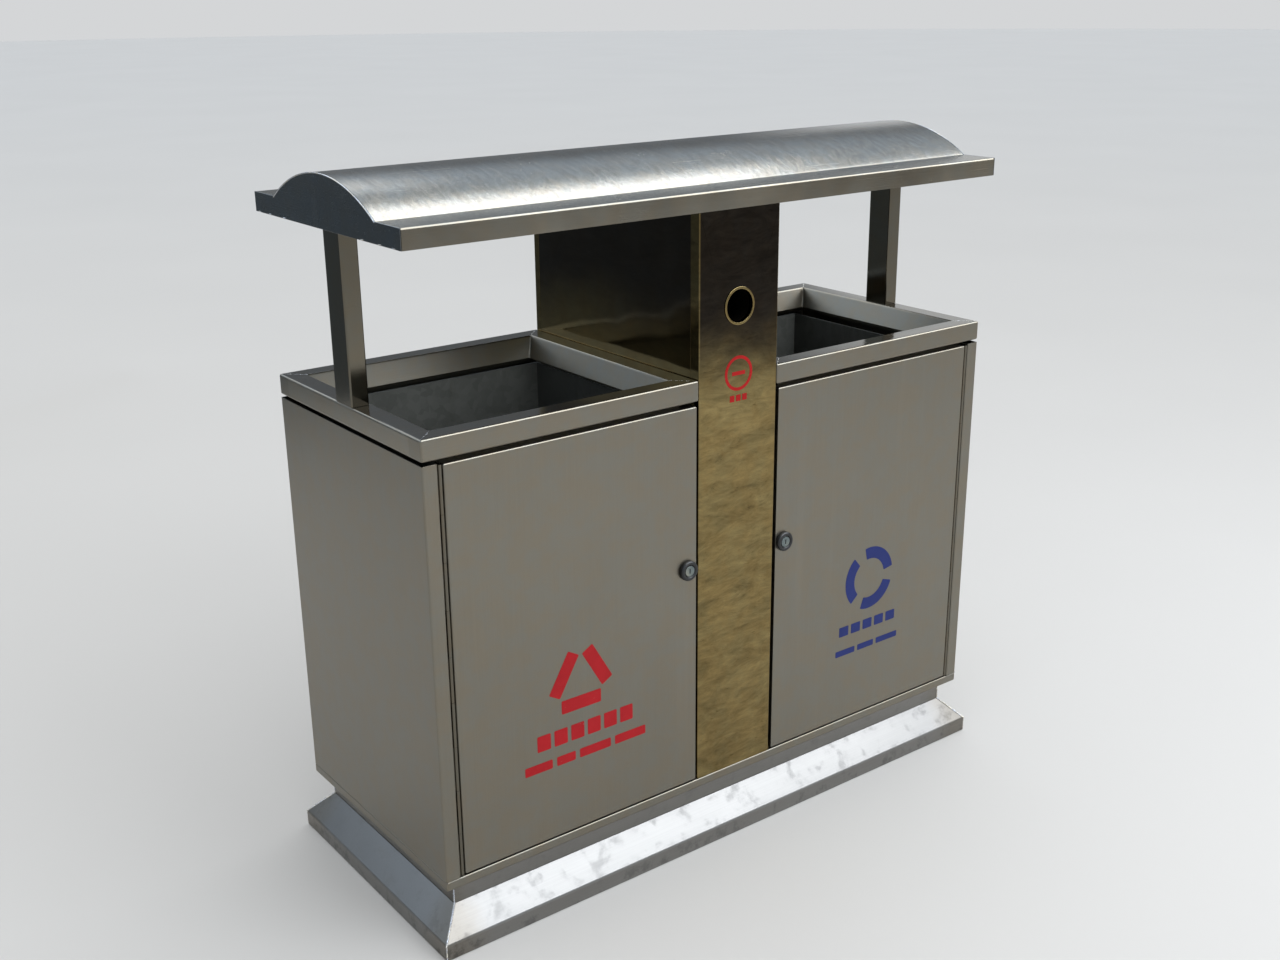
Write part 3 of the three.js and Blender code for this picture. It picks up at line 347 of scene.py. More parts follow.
def marbled(r, colour, looks):
    """The colour with uneven gold toning: flat veins, patches and dark flecks."""
    veins = r.noise(r.place((11.0, 11.0, 34.0), shift=(2.0, 0.0, 5.0)), 1.0, 7.0, 0.72, 1.6)
    patches = r.noise(r.place((24.0, 24.0, 70.0), shift=(0.0, 6.0, 1.0)), 1.0, 6.0, 0.72, 0.8)
    flecks = r.noise(r.place((90.0, 90.0, 260.0)), 1.0, 3.0, 0.6).over(0.62, 0.76)
    uneven = (veins - 0.5) * 1.5 + (patches - 0.5) * 1.1 - flecks * 0.3
    return r.shade(colour, 1.0 + uneven * looks["marble"])


def mirrored_steel(r, colour, along, looks):
    """Brushed or polished metal: grain, soft clouding, water marks, fingerprints and fine scratches.

    looks gives the contrast of the grain, its bands, the clouds and the mottle, the roughness and its
    spread, and the heights of the ripple and the waves. Some finishes add smoke, marbling, soot, a
    lighter band or a smoother top.
    """
    sheets = bpy.context.scene.station_sheets
    fine = r.noise(r.place(grain_scale(along, 900.0)), 1.0, 4.0, 0.65)
    broad = r.noise(r.place(grain_scale(along, 130.0), shift=(3.1, 1.7, 0.4)), 1.0, 3.0, 0.6)
    clouds = r.noise(r.place(), 4.2, 4.0, 0.55, 0.6)
    mottle = r.noise(r.place(shift=(7.0, 2.0, 5.0)), 34.0, 4.0, 0.6)
    prints = r.noise(r.place(shift=(1.3, 8.2, 2.4)), 9.0, 5.0, 0.7, 1.2).over(0.56, 0.70)
    ridges = r.add(
        "ShaderNodeTexWave",
        {"wave_type": "RINGS", "rings_direction": "Y"},
        {"Vector": r.place(shift=(0.21, 0.0, -0.43)), "Scale": 210.0, "Distortion": 6.0, "Detail": 2.0},
    )
    marks = prints * ridges * sheets.smudges
    drips = r.noise(r.place((26.0, 26.0, 1.6), shift=(2.0, 0.0, 9.0)), 1.0, 3.0, 0.6).over(0.60, 0.78)
    scratches = r.noise(r.place((3.0, 240.0, 420.0), turn=(0.3, 0.5, 0.2)), 1.0, 2.0).over(0.70, 0.76)
    specks = r.noise(r.place(shift=(4.0, 4.0, 4.0)), 520.0, 2.0, 0.8).over(0.70, 0.78)
    streak = (fine - 0.5) * (looks["grain"] * sheets.grain * 2.0)
    band = (broad - 0.5) * (looks["band"] * sheets.grain * 2.0)
    tone = 1.0 + streak + band + (clouds - 0.5) * looks["cloud"] + (mottle - 0.5) * looks["mottle"]
    tone = tone + marks * 0.10 + drips * (0.10 * sheets.smudges) + specks * 0.10
    if "band_lift" in looks:
        tone = tone * rim_band(r, looks)
    if "smoke_from" in looks:
        colour = smoked(r, colour, clouds, looks)
    if "marble" in looks:
        colour = marbled(r, colour, looks)
    if "soot_from" in looks:
        depth = r.axis(r.place(), "Y").over(looks["soot_from"], looks["soot_from"] + 0.0012)
        colour = r.blend(depth, colour, tuple(sheets.tarnish))
    warm = r.blend(mottle.over(0.35, 0.65), (1.03, 1.0, 0.96), (0.97, 1.0, 1.03))
    base = r.shade(r.blend(1.0, colour, warm, "MULTIPLY"), tone.at_least(0.05))
    rough = looks["rough"] + (clouds - 0.5) * 0.06 + marks * 0.10 + drips * 0.05
    rough = rough + (fine - 0.5) * looks["spread"] + scratches * 0.08
    if "top_rough" in looks:
        facing = r.axis(r.add("ShaderNodeNewGeometry", output="Normal"), "Z").over(0.90, 0.99)
        rough = rough + facing * (looks["top_rough"] - looks["rough"])
    waves = r.noise(r.place(shift=(5.0, 3.0, 1.0)), 5.5, 2.0, 0.4)
    height = fine * 0.00003 + broad * looks["ripple"] + waves * looks["wave"] - scratches * 0.00002
    r.surface(
        Base_Color=base,
        Metallic=1.0,
        Roughness=rough.at_least(0.04),
        Normal=r.bump(height),
    )


def plinth_steel(r, colour, along, looks):
    """Brushed steel with brown heat tint by the corner welds and kicked-up dirt low down."""
    sheets = bpy.context.scene.station_sheets
    where = r.place()
    x, y, z = (r.axis(where, name) for name in "XYZ")
    away_x = PLINTH_OUT.x * MM - x.magnitude()
    away_y = PLINTH_OUT.y * MM - y.magnitude()
    ragged = r.noise(r.place(shift=(2.0, 6.0, 1.0)), 22.0, 4.0, 0.6)
    near = away_x.at_least(away_y) + (ragged - 0.5) * 0.05
    tint = near.over(0.085, 0.03)
    fine = r.noise(r.place(grain_scale(along, 800.0)), 1.0, 4.0, 0.65)
    clouds = r.noise(r.place(shift=(1.0, 1.0, 8.0)), 6.0, 4.0, 0.6, 0.5)
    dirt = r.noise(r.place(shift=(8.0, 3.0, 0.0)), 30.0, 5.0, 0.7).over(0.50, 0.66)
    low = z.over(0.034, 0.004)
    tone = 1.0 + (fine - 0.5) * (0.4 * sheets.grain) + (clouds - 0.5) * 0.14
    tone = tone - dirt * (0.05 + 0.22 * low + 0.12 * tint) - tint * 0.10
    heat = r.blend(tint * 0.5, (1.0, 1.0, 1.0), (0.98, 0.88, 0.74))
    base = r.shade(r.blend(1.0, colour, heat, "MULTIPLY"), tone)
    rough = looks["rough"] + (clouds - 0.5) * 0.10 + dirt * 0.12 + low * 0.10
    height = fine * 0.00004 + r.noise(r.place(), 7.0, 2.0) * looks["wave"] + ragged * tint * 0.0002
    r.surface(Base_Color=base, Metallic=1.0, Roughness=rough, Normal=r.bump(height))


def galvanised_steel(r, colour, along, looks):
    """Dull zinc coating: crystal cells, white specks, scuffs and a darker foot."""
    cells = r.add("ShaderNodeTexVoronoi", None, {"Vector": r.place(), "Scale": 95.0}, "Color")
    spangle = r.axis(cells, "X")
    clouds = r.noise(r.place(), 7.0, 4.0, 0.6, 0.4)
    specks = r.noise(r.place(shift=(3.0, 5.0, 1.0)), 300.0, 3.0, 0.8).over(0.64, 0.74)
    scuffs = r.noise(r.place((40.0, 40.0, 5.0), turn=(0.2, 0.1, 0.0)), 1.0, 4.0, 0.7).over(0.60, 0.72)
    stains = r.noise(r.place((9.0, 9.0, 2.5), shift=(0.0, 4.0, 2.0)), 1.0, 5.0, 0.7).over(0.50, 0.75)
    # Painted shade: walls that face sideways are made much darker.
    side_wall = r.axis(r.add("ShaderNodeNewGeometry", output="Normal"), "X")
    rubbed = side_wall.magnitude().over(0.5, 0.9)
    tone = 0.86 + spangle * 0.20 + (clouds - 0.5) * 0.30 + specks * 0.55 + scuffs * 0.20 - stains * 0.30
    tone = tone * (1.0 - rubbed * 0.62)
    base = r.shade(r.blend(stains * 0.5, colour, (0.150, 0.140, 0.105)), tone)
    rough = looks["rough"] + spangle * 0.12 + stains * 0.15 + specks * 0.10
    height = spangle * 0.00004 + clouds * 0.0004 + specks * 0.0001
    metal = 0.35 - stains * 0.15 - specks * 0.15
    r.surface(Base_Color=base, Metallic=metal, Roughness=rough, Normal=r.bump(height))


def plated_steel(r, colour, along, looks):
    """Zinc-plated hardware: fine dull grain, handling marks and a yellowish cast in places."""
    fine = r.noise(r.place(), 900.0, 3.0, 0.7)
    clouds = r.noise(r.place(), 24.0, 4.0, 0.6)
    rub = r.noise(r.place(shift=(2.0, 1.0, 3.0)), 70.0, 4.0, 0.7).over(0.58, 0.72)
    base = r.shade(
        r.blend(clouds.over(0.45, 0.70) * 0.35, colour, (0.520, 0.470, 0.340)),
        0.88 + (fine - 0.5) * 0.3 + (clouds - 0.5) * 0.3 + rub * 0.15,
    )
    rough = looks["rough"] + (clouds - 0.5) * 0.2 - rub * 0.12
    height = fine * 0.00002 + clouds * 0.0001
    r.surface(Base_Color=base, Metallic=1.0, Roughness=rough, Normal=r.bump(height))


def black_plastic(r, colour, along, looks):
    """Moulded plastic with a fine texture, dust and a few pale scuffs."""
    fine = r.noise(r.place(), 1400.0, 2.0, 0.6)
    dust = r.noise(r.place(), 160.0, 5.0, 0.7).over(0.52, 0.70)
    scuffs = r.noise(r.place((900.0, 900.0, 60.0), turn=(0.4, 0.6, 0.0)), 1.0, 2.0).over(0.68, 0.74)
    base = r.blend(dust * 0.10 + scuffs * 0.2, colour, (0.110, 0.106, 0.098))
    rough = looks["rough"] + dust * 0.25 + (fine - 0.5) * 0.1
    normal = r.bump(fine * 0.00003)
    r.surface(Base_Color=base, Metallic=0.0, Roughness=rough, Normal=normal)


def sign_film(r, colour, along, looks):
    """Printed film: slightly faded in clouds, with small nicks and orange-peel gloss."""
    clouds = r.noise(r.place(), 26.0, 4.0, 0.6)
    nicks = r.noise(r.place(shift=(4.0, 2.0, 6.0)), 240.0, 3.0, 0.7).over(0.70, 0.76)
    peel = r.noise(r.place(), 700.0, 2.0)
    base = r.shade(r.blend(nicks * 0.5, colour, (0.330, 0.310, 0.280)), 0.9 + (clouds - 0.5) * 0.5)
    rough = looks["rough"] + (clouds - 0.5) * 0.2 + nicks * 0.2
    r.surface(
        Base_Color=base,
        Metallic=0.0,
        Roughness=rough,
        Specular_IOR_Level=0.15,
        Normal=r.bump(peel * 0.00002),
    )


def weld_metal(r, colour, along, looks):
    """Bright weld metal with straw and blue heat colours and a scaly skin."""
    heat = r.noise(r.place(), 45.0, 3.0, 0.6)
    scale = r.noise(r.place(), 700.0, 4.0, 0.7)
    tint = r.blend(heat.over(0.40, 0.60), (1.0, 0.95, 0.86), (0.86, 0.90, 1.0))
    base = r.shade(r.blend(1.0, colour, tint, "MULTIPLY"), 0.9 + (scale - 0.5) * 0.5)
    rough = looks["rough"] + (scale - 0.5) * 0.3
    r.surface(Base_Color=base, Metallic=1.0, Roughness=rough, Normal=r.bump(scale * 0.0002))


SATIN = {
    "grain": 0.16, "band": 0.03, "cloud": 0.10, "mottle": 0.10,
    "rough": 0.34, "spread": 0.10, "ripple": 0.00003, "wave": 0.0003,
}


def sheet_steel(colour, along, **changes):
    """A finish of satin steel in one of the sheet colours, with some of its looks changed."""
    return mirrored_steel, ("station_sheets", colour), along, {**SATIN, **changes}


# What each finish is made of: its builder, where its colour is kept, the run of its grain and its looks.
FINISHES = {
    "satin_upright": sheet_steel("steel", "Z"),
    "satin_long": sheet_steel("steel", "X", cloud=0.16, mottle=0.16),
    "satin_deep": sheet_steel("slate_steel", "Y", cloud=0.30, rough=0.26),
    "rim_steel": sheet_steel(
        "steel", "X", cloud=0.20, rough=0.30, top_rough=0.11, wave=0.0004, band_lift=0.15
    ),
    "roof_steel": sheet_steel(
        "cool_steel", "Y", grain=0.70, band=0.65, cloud=0.26, rough=0.22, ripple=0.00018, wave=0.0004
    ),
    "fascia_steel": sheet_steel("steel", "X", grain=0.12, band=0.02, cloud=1.30, rough=0.24, wave=0.0014),
    "post_steel": sheet_steel("polished", "Z", grain=0.10, rough=0.12, spread=0.05, wave=0.0005),
    # The gold sheets carry a painted dark reflection over their upper part and a painted mottled
    # reflection.
    "gold_sheet": sheet_steel(
        "gold", "Z", grain=0.03, band=0.06, cloud=0.26, mottle=0.24, rough=0.11, spread=0.03,
        ripple=0.00002, wave=0.0016, smoke_from=0.74, smoke_to=0.90, smoke_tone=0.8, worn_edge=0.7,
        marble=1.05,
    ),
    "gold_side": sheet_steel(
        "gold", "Z", grain=0.03, band=0.06, cloud=0.40, mottle=0.30, rough=0.09, spread=0.03,
        ripple=0.00002, wave=0.0060, smoke_from=0.77, smoke_to=0.93, smoke_tone=1.6, marble=0.5,
    ),
    "hole_trim": sheet_steel("gold", "Z", rough=0.20, soot_from=COLUMN_FRONT * MM - 0.0002),
    "sooty_sheet": sheet_steel("tarnish", "Z", rough=0.55, mottle=0.5),
    "plinth_steel": (plinth_steel, ("station_sheets", "plinth"), "X", {"rough": 0.30, "wave": 0.0008}),
    "galvanised": (galvanised_steel, ("station_sheets", "galvanised"), "Z", {"rough": 0.38}),
    "zinc": (plated_steel, ("station_sheets", "zinc"), "Z", {"rough": 0.34}),
    "lock_face": (plated_steel, ("station_sheets", "lock_face"), "Z", {"rough": 0.42}),
    "black_plastic": (black_plastic, ("station_signs", "black"), "Z", {"rough": 0.40}),
    "red_film": (sign_film, ("station_signs", "red"), "Z", {"rough": 0.40}),
    "blue_film": (sign_film, ("station_signs", "blue"), "Z", {"rough": 0.40}),
    "dark_red_film": (sign_film, ("station_signs", "dark_red"), "Z", {"rough": 0.40}),
    "weld": (weld_metal, ("station_welds", "metal"), "Z", {"rough": 0.24}),
}
_made = {}


def node_material(name):
    """A new material, and the recipe for its nodes."""
    mat = bpy.data.materials.new(name)
    mat.use_nodes = True
    return mat, Recipe(mat.node_tree)


def material(finish):
    """The material of a finish, made the first time it is asked for."""
    if finish not in _made:
        build, (group, setting), along, looks = FINISHES[finish]
        _made[finish], r = node_material(finish)
        build(r, tuple(getattr(getattr(bpy.context.scene, group), setting)), along, looks)
    return _made[finish]


def add_object(name, data):
    """Puts a mesh, a light or a camera in the scene."""
    thing = bpy.data.objects.new(name, data)
    bpy.context.scene.collection.objects.link(thing)
    return thing


# ------------------------------------------------------------------------------------------------
# Shapes
# ------------------------------------------------------------------------------------------------

SHARP_FOLD = math.radians(35)  # a curve's facets turn by less
SMOOTH_UNDER = math.radians(50)  # edges that turn by more are shaded sharp
FLAT = math.radians(1)
FOLD_LEAST = 4 * MM  # both flanges of a fold are wider, and its edge is longer
SHEET = 1.2 * MM
SAME_PLACE = 2e-6


def to_object(name, shape, finish, body):
    """Turns a bmesh into a finished piece at the origin that rides on a body."""
    mesh = bpy.data.meshes.new(name)
    for face in shape.faces:
        face.smooth = True
        face.material_index = 0
    for edge in shape.edges:
        edge.smooth = len(edge.link_faces) == 2 and edge.calc_face_angle() < SMOOTH_UNDER
    shape.to_mesh(mesh)
    shape.free()
    mesh.materials.append(material(finish))
    piece = add_object(name, mesh)
    weighting = piece.modifiers.new("Even shading", "WEIGHTED_NORMAL")
    weighting.keep_sharp = True
    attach(piece, body)
    return piece


def strip_width(face, edge):
    """How wide a face is across one of its edges, roughly."""
    return face.calc_area() / max(edge.calc_length(), 1e-9)


def sharp_edges(shape, outward=True):
    """Edges of a closed shape that turn by more than a facet of a curve does."""
    found = []
    for edge in shape.edges:
        if len(edge.link_faces) == 2 and edge.is_convex == outward and edge.calc_face_angle() > SHARP_FOLD:
            found.append(edge)
    return found


def fold_edges(shape, outward=True):
    """The sharp edges between two wide faces, which are where the sheet was folded."""
    return [
        e for e in sharp_edges(shape, outward)
        if e.calc_length() > FOLD_LEAST and all(strip_width(f, e) > FOLD_LEAST for f in e.link_faces)
    ]


def bevel(shape, edges, radius, segments):
    """Rolls edges to a radius, if there are any."""
    if edges:
        bmesh.ops.bevel(
            shape, geom=edges, offset=radius, offset_type="OFFSET", segments=segments, profile=0.5,
            affect="EDGES", clamp_overlap=False, material=-1,
        )


def finished_copy(node, finish, fold=None, edge=None):
    """Replaces a CAD node with a copy that has rolled folds and eased cut edges."""
    sheets = bpy.context.scene.station_sheets
    fold = sheets.fold_radius if fold is None else fold * MM
    edge = sheets.edge_radius if edge is None else edge * MM
    source = NODES[node]
    shape = bmesh.new()
    shape.from_mesh(source.data)
    bmesh.ops.remove_doubles(shape, verts=shape.verts, dist=SAME_PLACE)
    bmesh.ops.dissolve_limit(
        shape, angle_limit=FLAT, verts=shape.verts, edges=shape.edges, use_dissolve_boundaries=False
    )
    # A ring-shaped face tears when its edges are rolled, so every face with many corners is split first.
    bmesh.ops.triangulate(shape, faces=[f for f in shape.faces if len(f.verts) > 4])
    if fold > SHEET:
        bevel(shape, fold_edges(shape, outward=False), fold - SHEET, 3)
    if fold > 0:
        bevel(shape, fold_edges(shape), fold, 5)
    if edge > 0:
        cuts = [
            e for e in sharp_edges(shape)
            if e.calc_length() > edge and all(strip_width(f, e) > 2 * edge for f in e.link_faces)
        ]
        bevel(shape, cuts, edge, 1)
    piece = to_object(node + "_finished", shape, finish, source["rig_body"])
    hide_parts(node)
    return piece


def repaint(node, finish):
    """Gives a detailed material to a CAD node whose own mesh is shown."""
    mesh = NODES[node].data
    mesh.materials.clear()
    mesh.materials.append(material(finish))


def both(names):
    """Left and right names of each piece."""
    return [f"{name}_{side}" for name in names for side in SIDES]


def add_box(shape, low, high):
    """A block between two corners, in millimetres."""
    low, high = Vector(low) * MM, Vector(high) * MM
    made = bmesh.ops.create_cube(shape, size=1.0)["verts"]
    bmesh.ops.scale(shape, vec=high - low, verts=made)
    bmesh.ops.translate(shape, vec=(high + low) / 2, verts=made)
    return made


def add_bead(shape, start, end, radius, pitch, flat=(1.0, 1.0, 1.0), seed=0):
    """A weld bead: overlapping drops of slightly uneven size from start to end, in millimetres."""
    draw = random.Random(seed)
    start, end = Vector(start), Vector(end)
    count = max(1, round((end - start).length / pitch))
    for i in range(count + 1):
        size = radius * draw.uniform(0.82, 1.12)
        at = start.lerp(end, i / count) + Vector((draw.uniform(-0.12, 0.12) * radius for _ in range(3)))
        drop = bmesh.ops.create_icosphere(shape, subdivisions=2, radius=size * MM)["verts"]
        bmesh.ops.scale(shape, vec=flat, verts=drop)
        bmesh.ops.rotate(shape, matrix=Matrix.Rotation(draw.uniform(0, 6.2), 3, "Z"), verts=drop)
        bmesh.ops.translate(shape, vec=at * MM, verts=drop)


# ------------------------------------------------------------------------------------------------
# Operators
# ------------------------------------------------------------------------------------------------


class PieceOperator(bpy.types.Operator):
    """Builds one group of pieces."""

    bl_options = {"REGISTER", "UNDO"}

    def execute(self, context):
        self.build(context.scene)
        return {"FINISHED"}


class STATION_OT_panels(PieceOperator):
    """Finish the doors, the side and back panels and the headers over them"""

    bl_idname = "station.panels"
    bl_label = "Doors and Panels"

    def build(self, scene):
        for node in both(["door", "side_panel", "back_panel"]):
            finished_copy(node, "satin_upright")
        for node in both(["header", "door_stiffener"]):
            finished_copy(node, "satin_long", fold=1.2)


class STATION_OT_plinth(PieceOperator):
    """Finish the skirt, the base frame, the floor pan and the anchor bars"""

    bl_idname = "station.plinth"
    bl_label = "Plinth"

    def build(self, scene):
        finished_copy("plinth_skirt", "plinth_steel")
        finished_copy("base_frame", "plinth_steel")
        finished_copy("floor_pan", "satin_long")
        for node in both(["anchor_bar"]):
            finished_copy(node, "zinc", fold=0.8)


class STATION_OT_rims(PieceOperator):
    """Finish the frames round the two mouths"""

    bl_idname = "station.rims"
    bl_label = "Mouth Rims"

    def build(self, scene):
        for node in both(["rim"]):
            finished_copy(node, "rim_steel", fold=3.2)


class STATION_OT_canopy(PieceOperator):
    """Finish the canopy's roof, ledges, end plates, ribs and soffit, and the two posts"""

    bl_idname = "station.canopy"
    bl_label = "Canopy and Posts"

    def build(self, scene):
        finished_copy("canopy_roof", "roof_steel", fold=0.0)
        for node in ("canopy_ledge_front", "canopy_ledge_back"):
            finished_copy(node, "fascia_steel", fold=3.4)
        for node in both(["canopy_end", "canopy_rib"]):
            finished_copy(node, "satin_deep", fold=0.0, edge=0.4)
        finished_copy("canopy_soffit", "satin_long", fold=1.2)
        for node in both(["post"]):
            finished_copy(node, "post_steel", fold=2.6)


class STATION_OT_column(PieceOperator):
    """Finish the gold sheets of the column and the ash hole in it"""

    bl_idname = "station.column"
    bl_label = "Ash Column"

    def build(self, scene):
        for node in ("column_front", "column_back"):
            finished_copy(node, "gold_sheet", fold=1.8)
        for node in both(["column_side"]):
            finished_copy(node, "gold_side", fold=1.2)
        finished_copy("ash_bezel", "hole_trim", fold=0.0, edge=0.5)
        finished_copy("ash_chute", "sooty_sheet", fold=0.0)
        for node in ("ash_can", "ash_shelf"):
            finished_copy(node, "galvanised", fold=0.0)


class STATION_OT_liners(PieceOperator):
    """Finish the liners, their trays and their lifting handles"""

    bl_idname = "station.liners"
    bl_label = "Liners"

    def build(self, scene):
        for node in both(["liner", "liner_tray"]):
            finished_copy(node, "galvanised", fold=1.2)
        for node in both(["handle_clip"]):
            finished_copy(node, "zinc", fold=0.0)
        for node in both(["liner_handle"]):
            finished_copy(node, "zinc", fold=0.0, edge=0.0)


class STATION_OT_hardware(PieceOperator):
    """Finish the hinges and the locks"""

    bl_idname = "station.hardware"
    bl_label = "Hinges and Locks"

    def build(self, scene):
        for node in both(["hinge_leaf_stile", "hinge_leaf_door", "hinge_pin"]):
            repaint(node, "post_steel")
        for node in both(["lock_nut", "lock_cam"]):
            finished_copy(node, "zinc", fold=0.0, edge=0.3)
        for node in both(["lock_cylinder"]):
            finished_copy(node, "lock_face", fold=0.0, edge=0.3)
        for node in both(["strike_plate"]):
            finished_copy(node, "zinc", fold=0.0)
        for node in both(["lock_bezel"]):
            finished_copy(node, "black_plastic", fold=0.0, edge=0.7)


class STATION_OT_welds(PieceOperator):
    """Lay the weld beads on the plinth, the rims and the canopy's end plates"""

    bl_idname = "station.welds"
    bl_label = "Welds"

    TACKS = (120, 168, 205)  # how far from the middle the canopy's tack welds are, in millimetres

    def build(self, scene):
        welds = scene.station_welds
        for side, sx in SIDES.items():
            self.plinth_welds(side, sx, welds.bead_radius / MM)
            self.rim_weld(side, sx, welds.fine_radius / MM)
            self.canopy_weld(side, sx)

    @staticmethod
    def plinth_welds(side, sx, radius):
        """A bead up each corner of the plinth: the flange, the slope and the base frame over it."""
        out, neck = PLINTH_OUT, NECK_OUT
        for place, sy in (("front", -1), ("back", 1)):
            shape = bmesh.new()
            seed = 10 + 3 * sx + sy
            foot = (sx * (out.x - 1.2), sy * (out.y - 1.2), 2.0)
            shoulder = (sx * (out.x - 1.0), sy * (out.y - 1.0), FLANGE_HEIGHT)
            top = (sx * neck.x, sy * neck.y, out.z)
            crown = (sx * (neck.x - 0.9), sy * (neck.y - 0.9), neck.z - 2.0)
            add_bead(shape, foot, shoulder, radius * 0.75, radius * 1.3, seed=seed)
            add_bead(shape, shoulder, top, radius, radius * 1.1, seed=seed + 1)
            add_bead(shape, top, crown, radius * 0.9, radius * 1.1, seed=seed + 2)
            to_object(f"plinth_weld_{place}_{side}", shape, "weld", "station")

    @staticmethod
    def rim_weld(side, sx, radius):
        """A ground bead along each mitre of a rim, with two spots on it."""
        shape = bmesh.new()
        level = RIM_OUT.z - 0.12
        low, high = (corner_mm(f"rim_{side}", which) for which in (0, 1))
        for x, dx in ((low.x, 1), (high.x, -1)):
            for y, dy in ((low.y, 1), (high.y, -1)):
                start = (x + dx * 2.6, y + dy * 2.6, level)
                end = (x + dx * RIM_LIP, y + dy * RIM_LIP, level)
                add_bead(shape, start, end, radius, radius * 2.2, flat=(1, 1, 0.5), seed=30 + sx)
                for step in (0.35, 0.75):
                    spot = Vector(start).lerp(Vector(end), step)
                    add_bead(shape, spot, spot, radius * 2.0, 1.0, flat=(1, 1, 0.35), seed=40)
        to_object(f"rim_weld_{side}", shape, "weld", "station")

    def canopy_weld(self, side, sx):
        """Tack welds along the foot of an end plate, and the seam along its arch."""
        shape = bmesh.new()
        plate = CANOPY_OUT.x - 0.3
        for sy in (-1, 1):
            for y in self.TACKS:
                start = Vector((sx * plate, sy * y, CANOPY_FOOT + 0.9))
                end = start + Vector((0, 6, 0))
                add_bead(shape, start, end, 1.1, 1.3, flat=(0.6, 1, 1), seed=y)
        self.arch_seam(shape, sx * (plate + 0.1))
        to_object(f"canopy_weld_{side}", shape, "weld", "station")

    @staticmethod
    def arch_seam(shape, x):
        """A thin ground seam where the roof meets an end plate, spun along the arch."""
        roof = corner_mm("canopy_roof", 1)
        rise = roof.z - CANOPY_STEP
        radius = (roof.y ** 2 + rise ** 2) / (2 * rise)
        hub = Vector((x, 0, roof.z - radius)) * MM
        half = math.asin(roof.y / radius)
        crest = hub + Vector((0, 0, radius - 0.35)) * MM
        loop = bmesh.ops.create_circle(shape, segments=8, radius=SEAM_RADIUS * MM)["verts"]
        bmesh.ops.translate(shape, vec=crest, verts=loop)
        bmesh.ops.rotate(shape, cent=crest, matrix=Matrix.Rotation(math.radians(90), 3, "X"), verts=loop)
        bmesh.ops.rotate(shape, cent=hub, matrix=Matrix.Rotation(-half, 3, "X"), verts=loop)
        ring = [e for e in shape.edges if all(v in set(loop) for v in e.verts)]
        made = bmesh.ops.spin(
            shape, geom=loop + ring, cent=hub, axis=(1, 0, 0), angle=2 * half, steps=40,
            use_duplicate=False,
        )["geom_last"]
        for end in (ring, [g for g in made if isinstance(g, bmesh.types.BMEdge)]):
            bmesh.ops.contextual_create(shape, geom=end)
        bmesh.ops.recalc_face_normals(shape, faces=shape.faces)


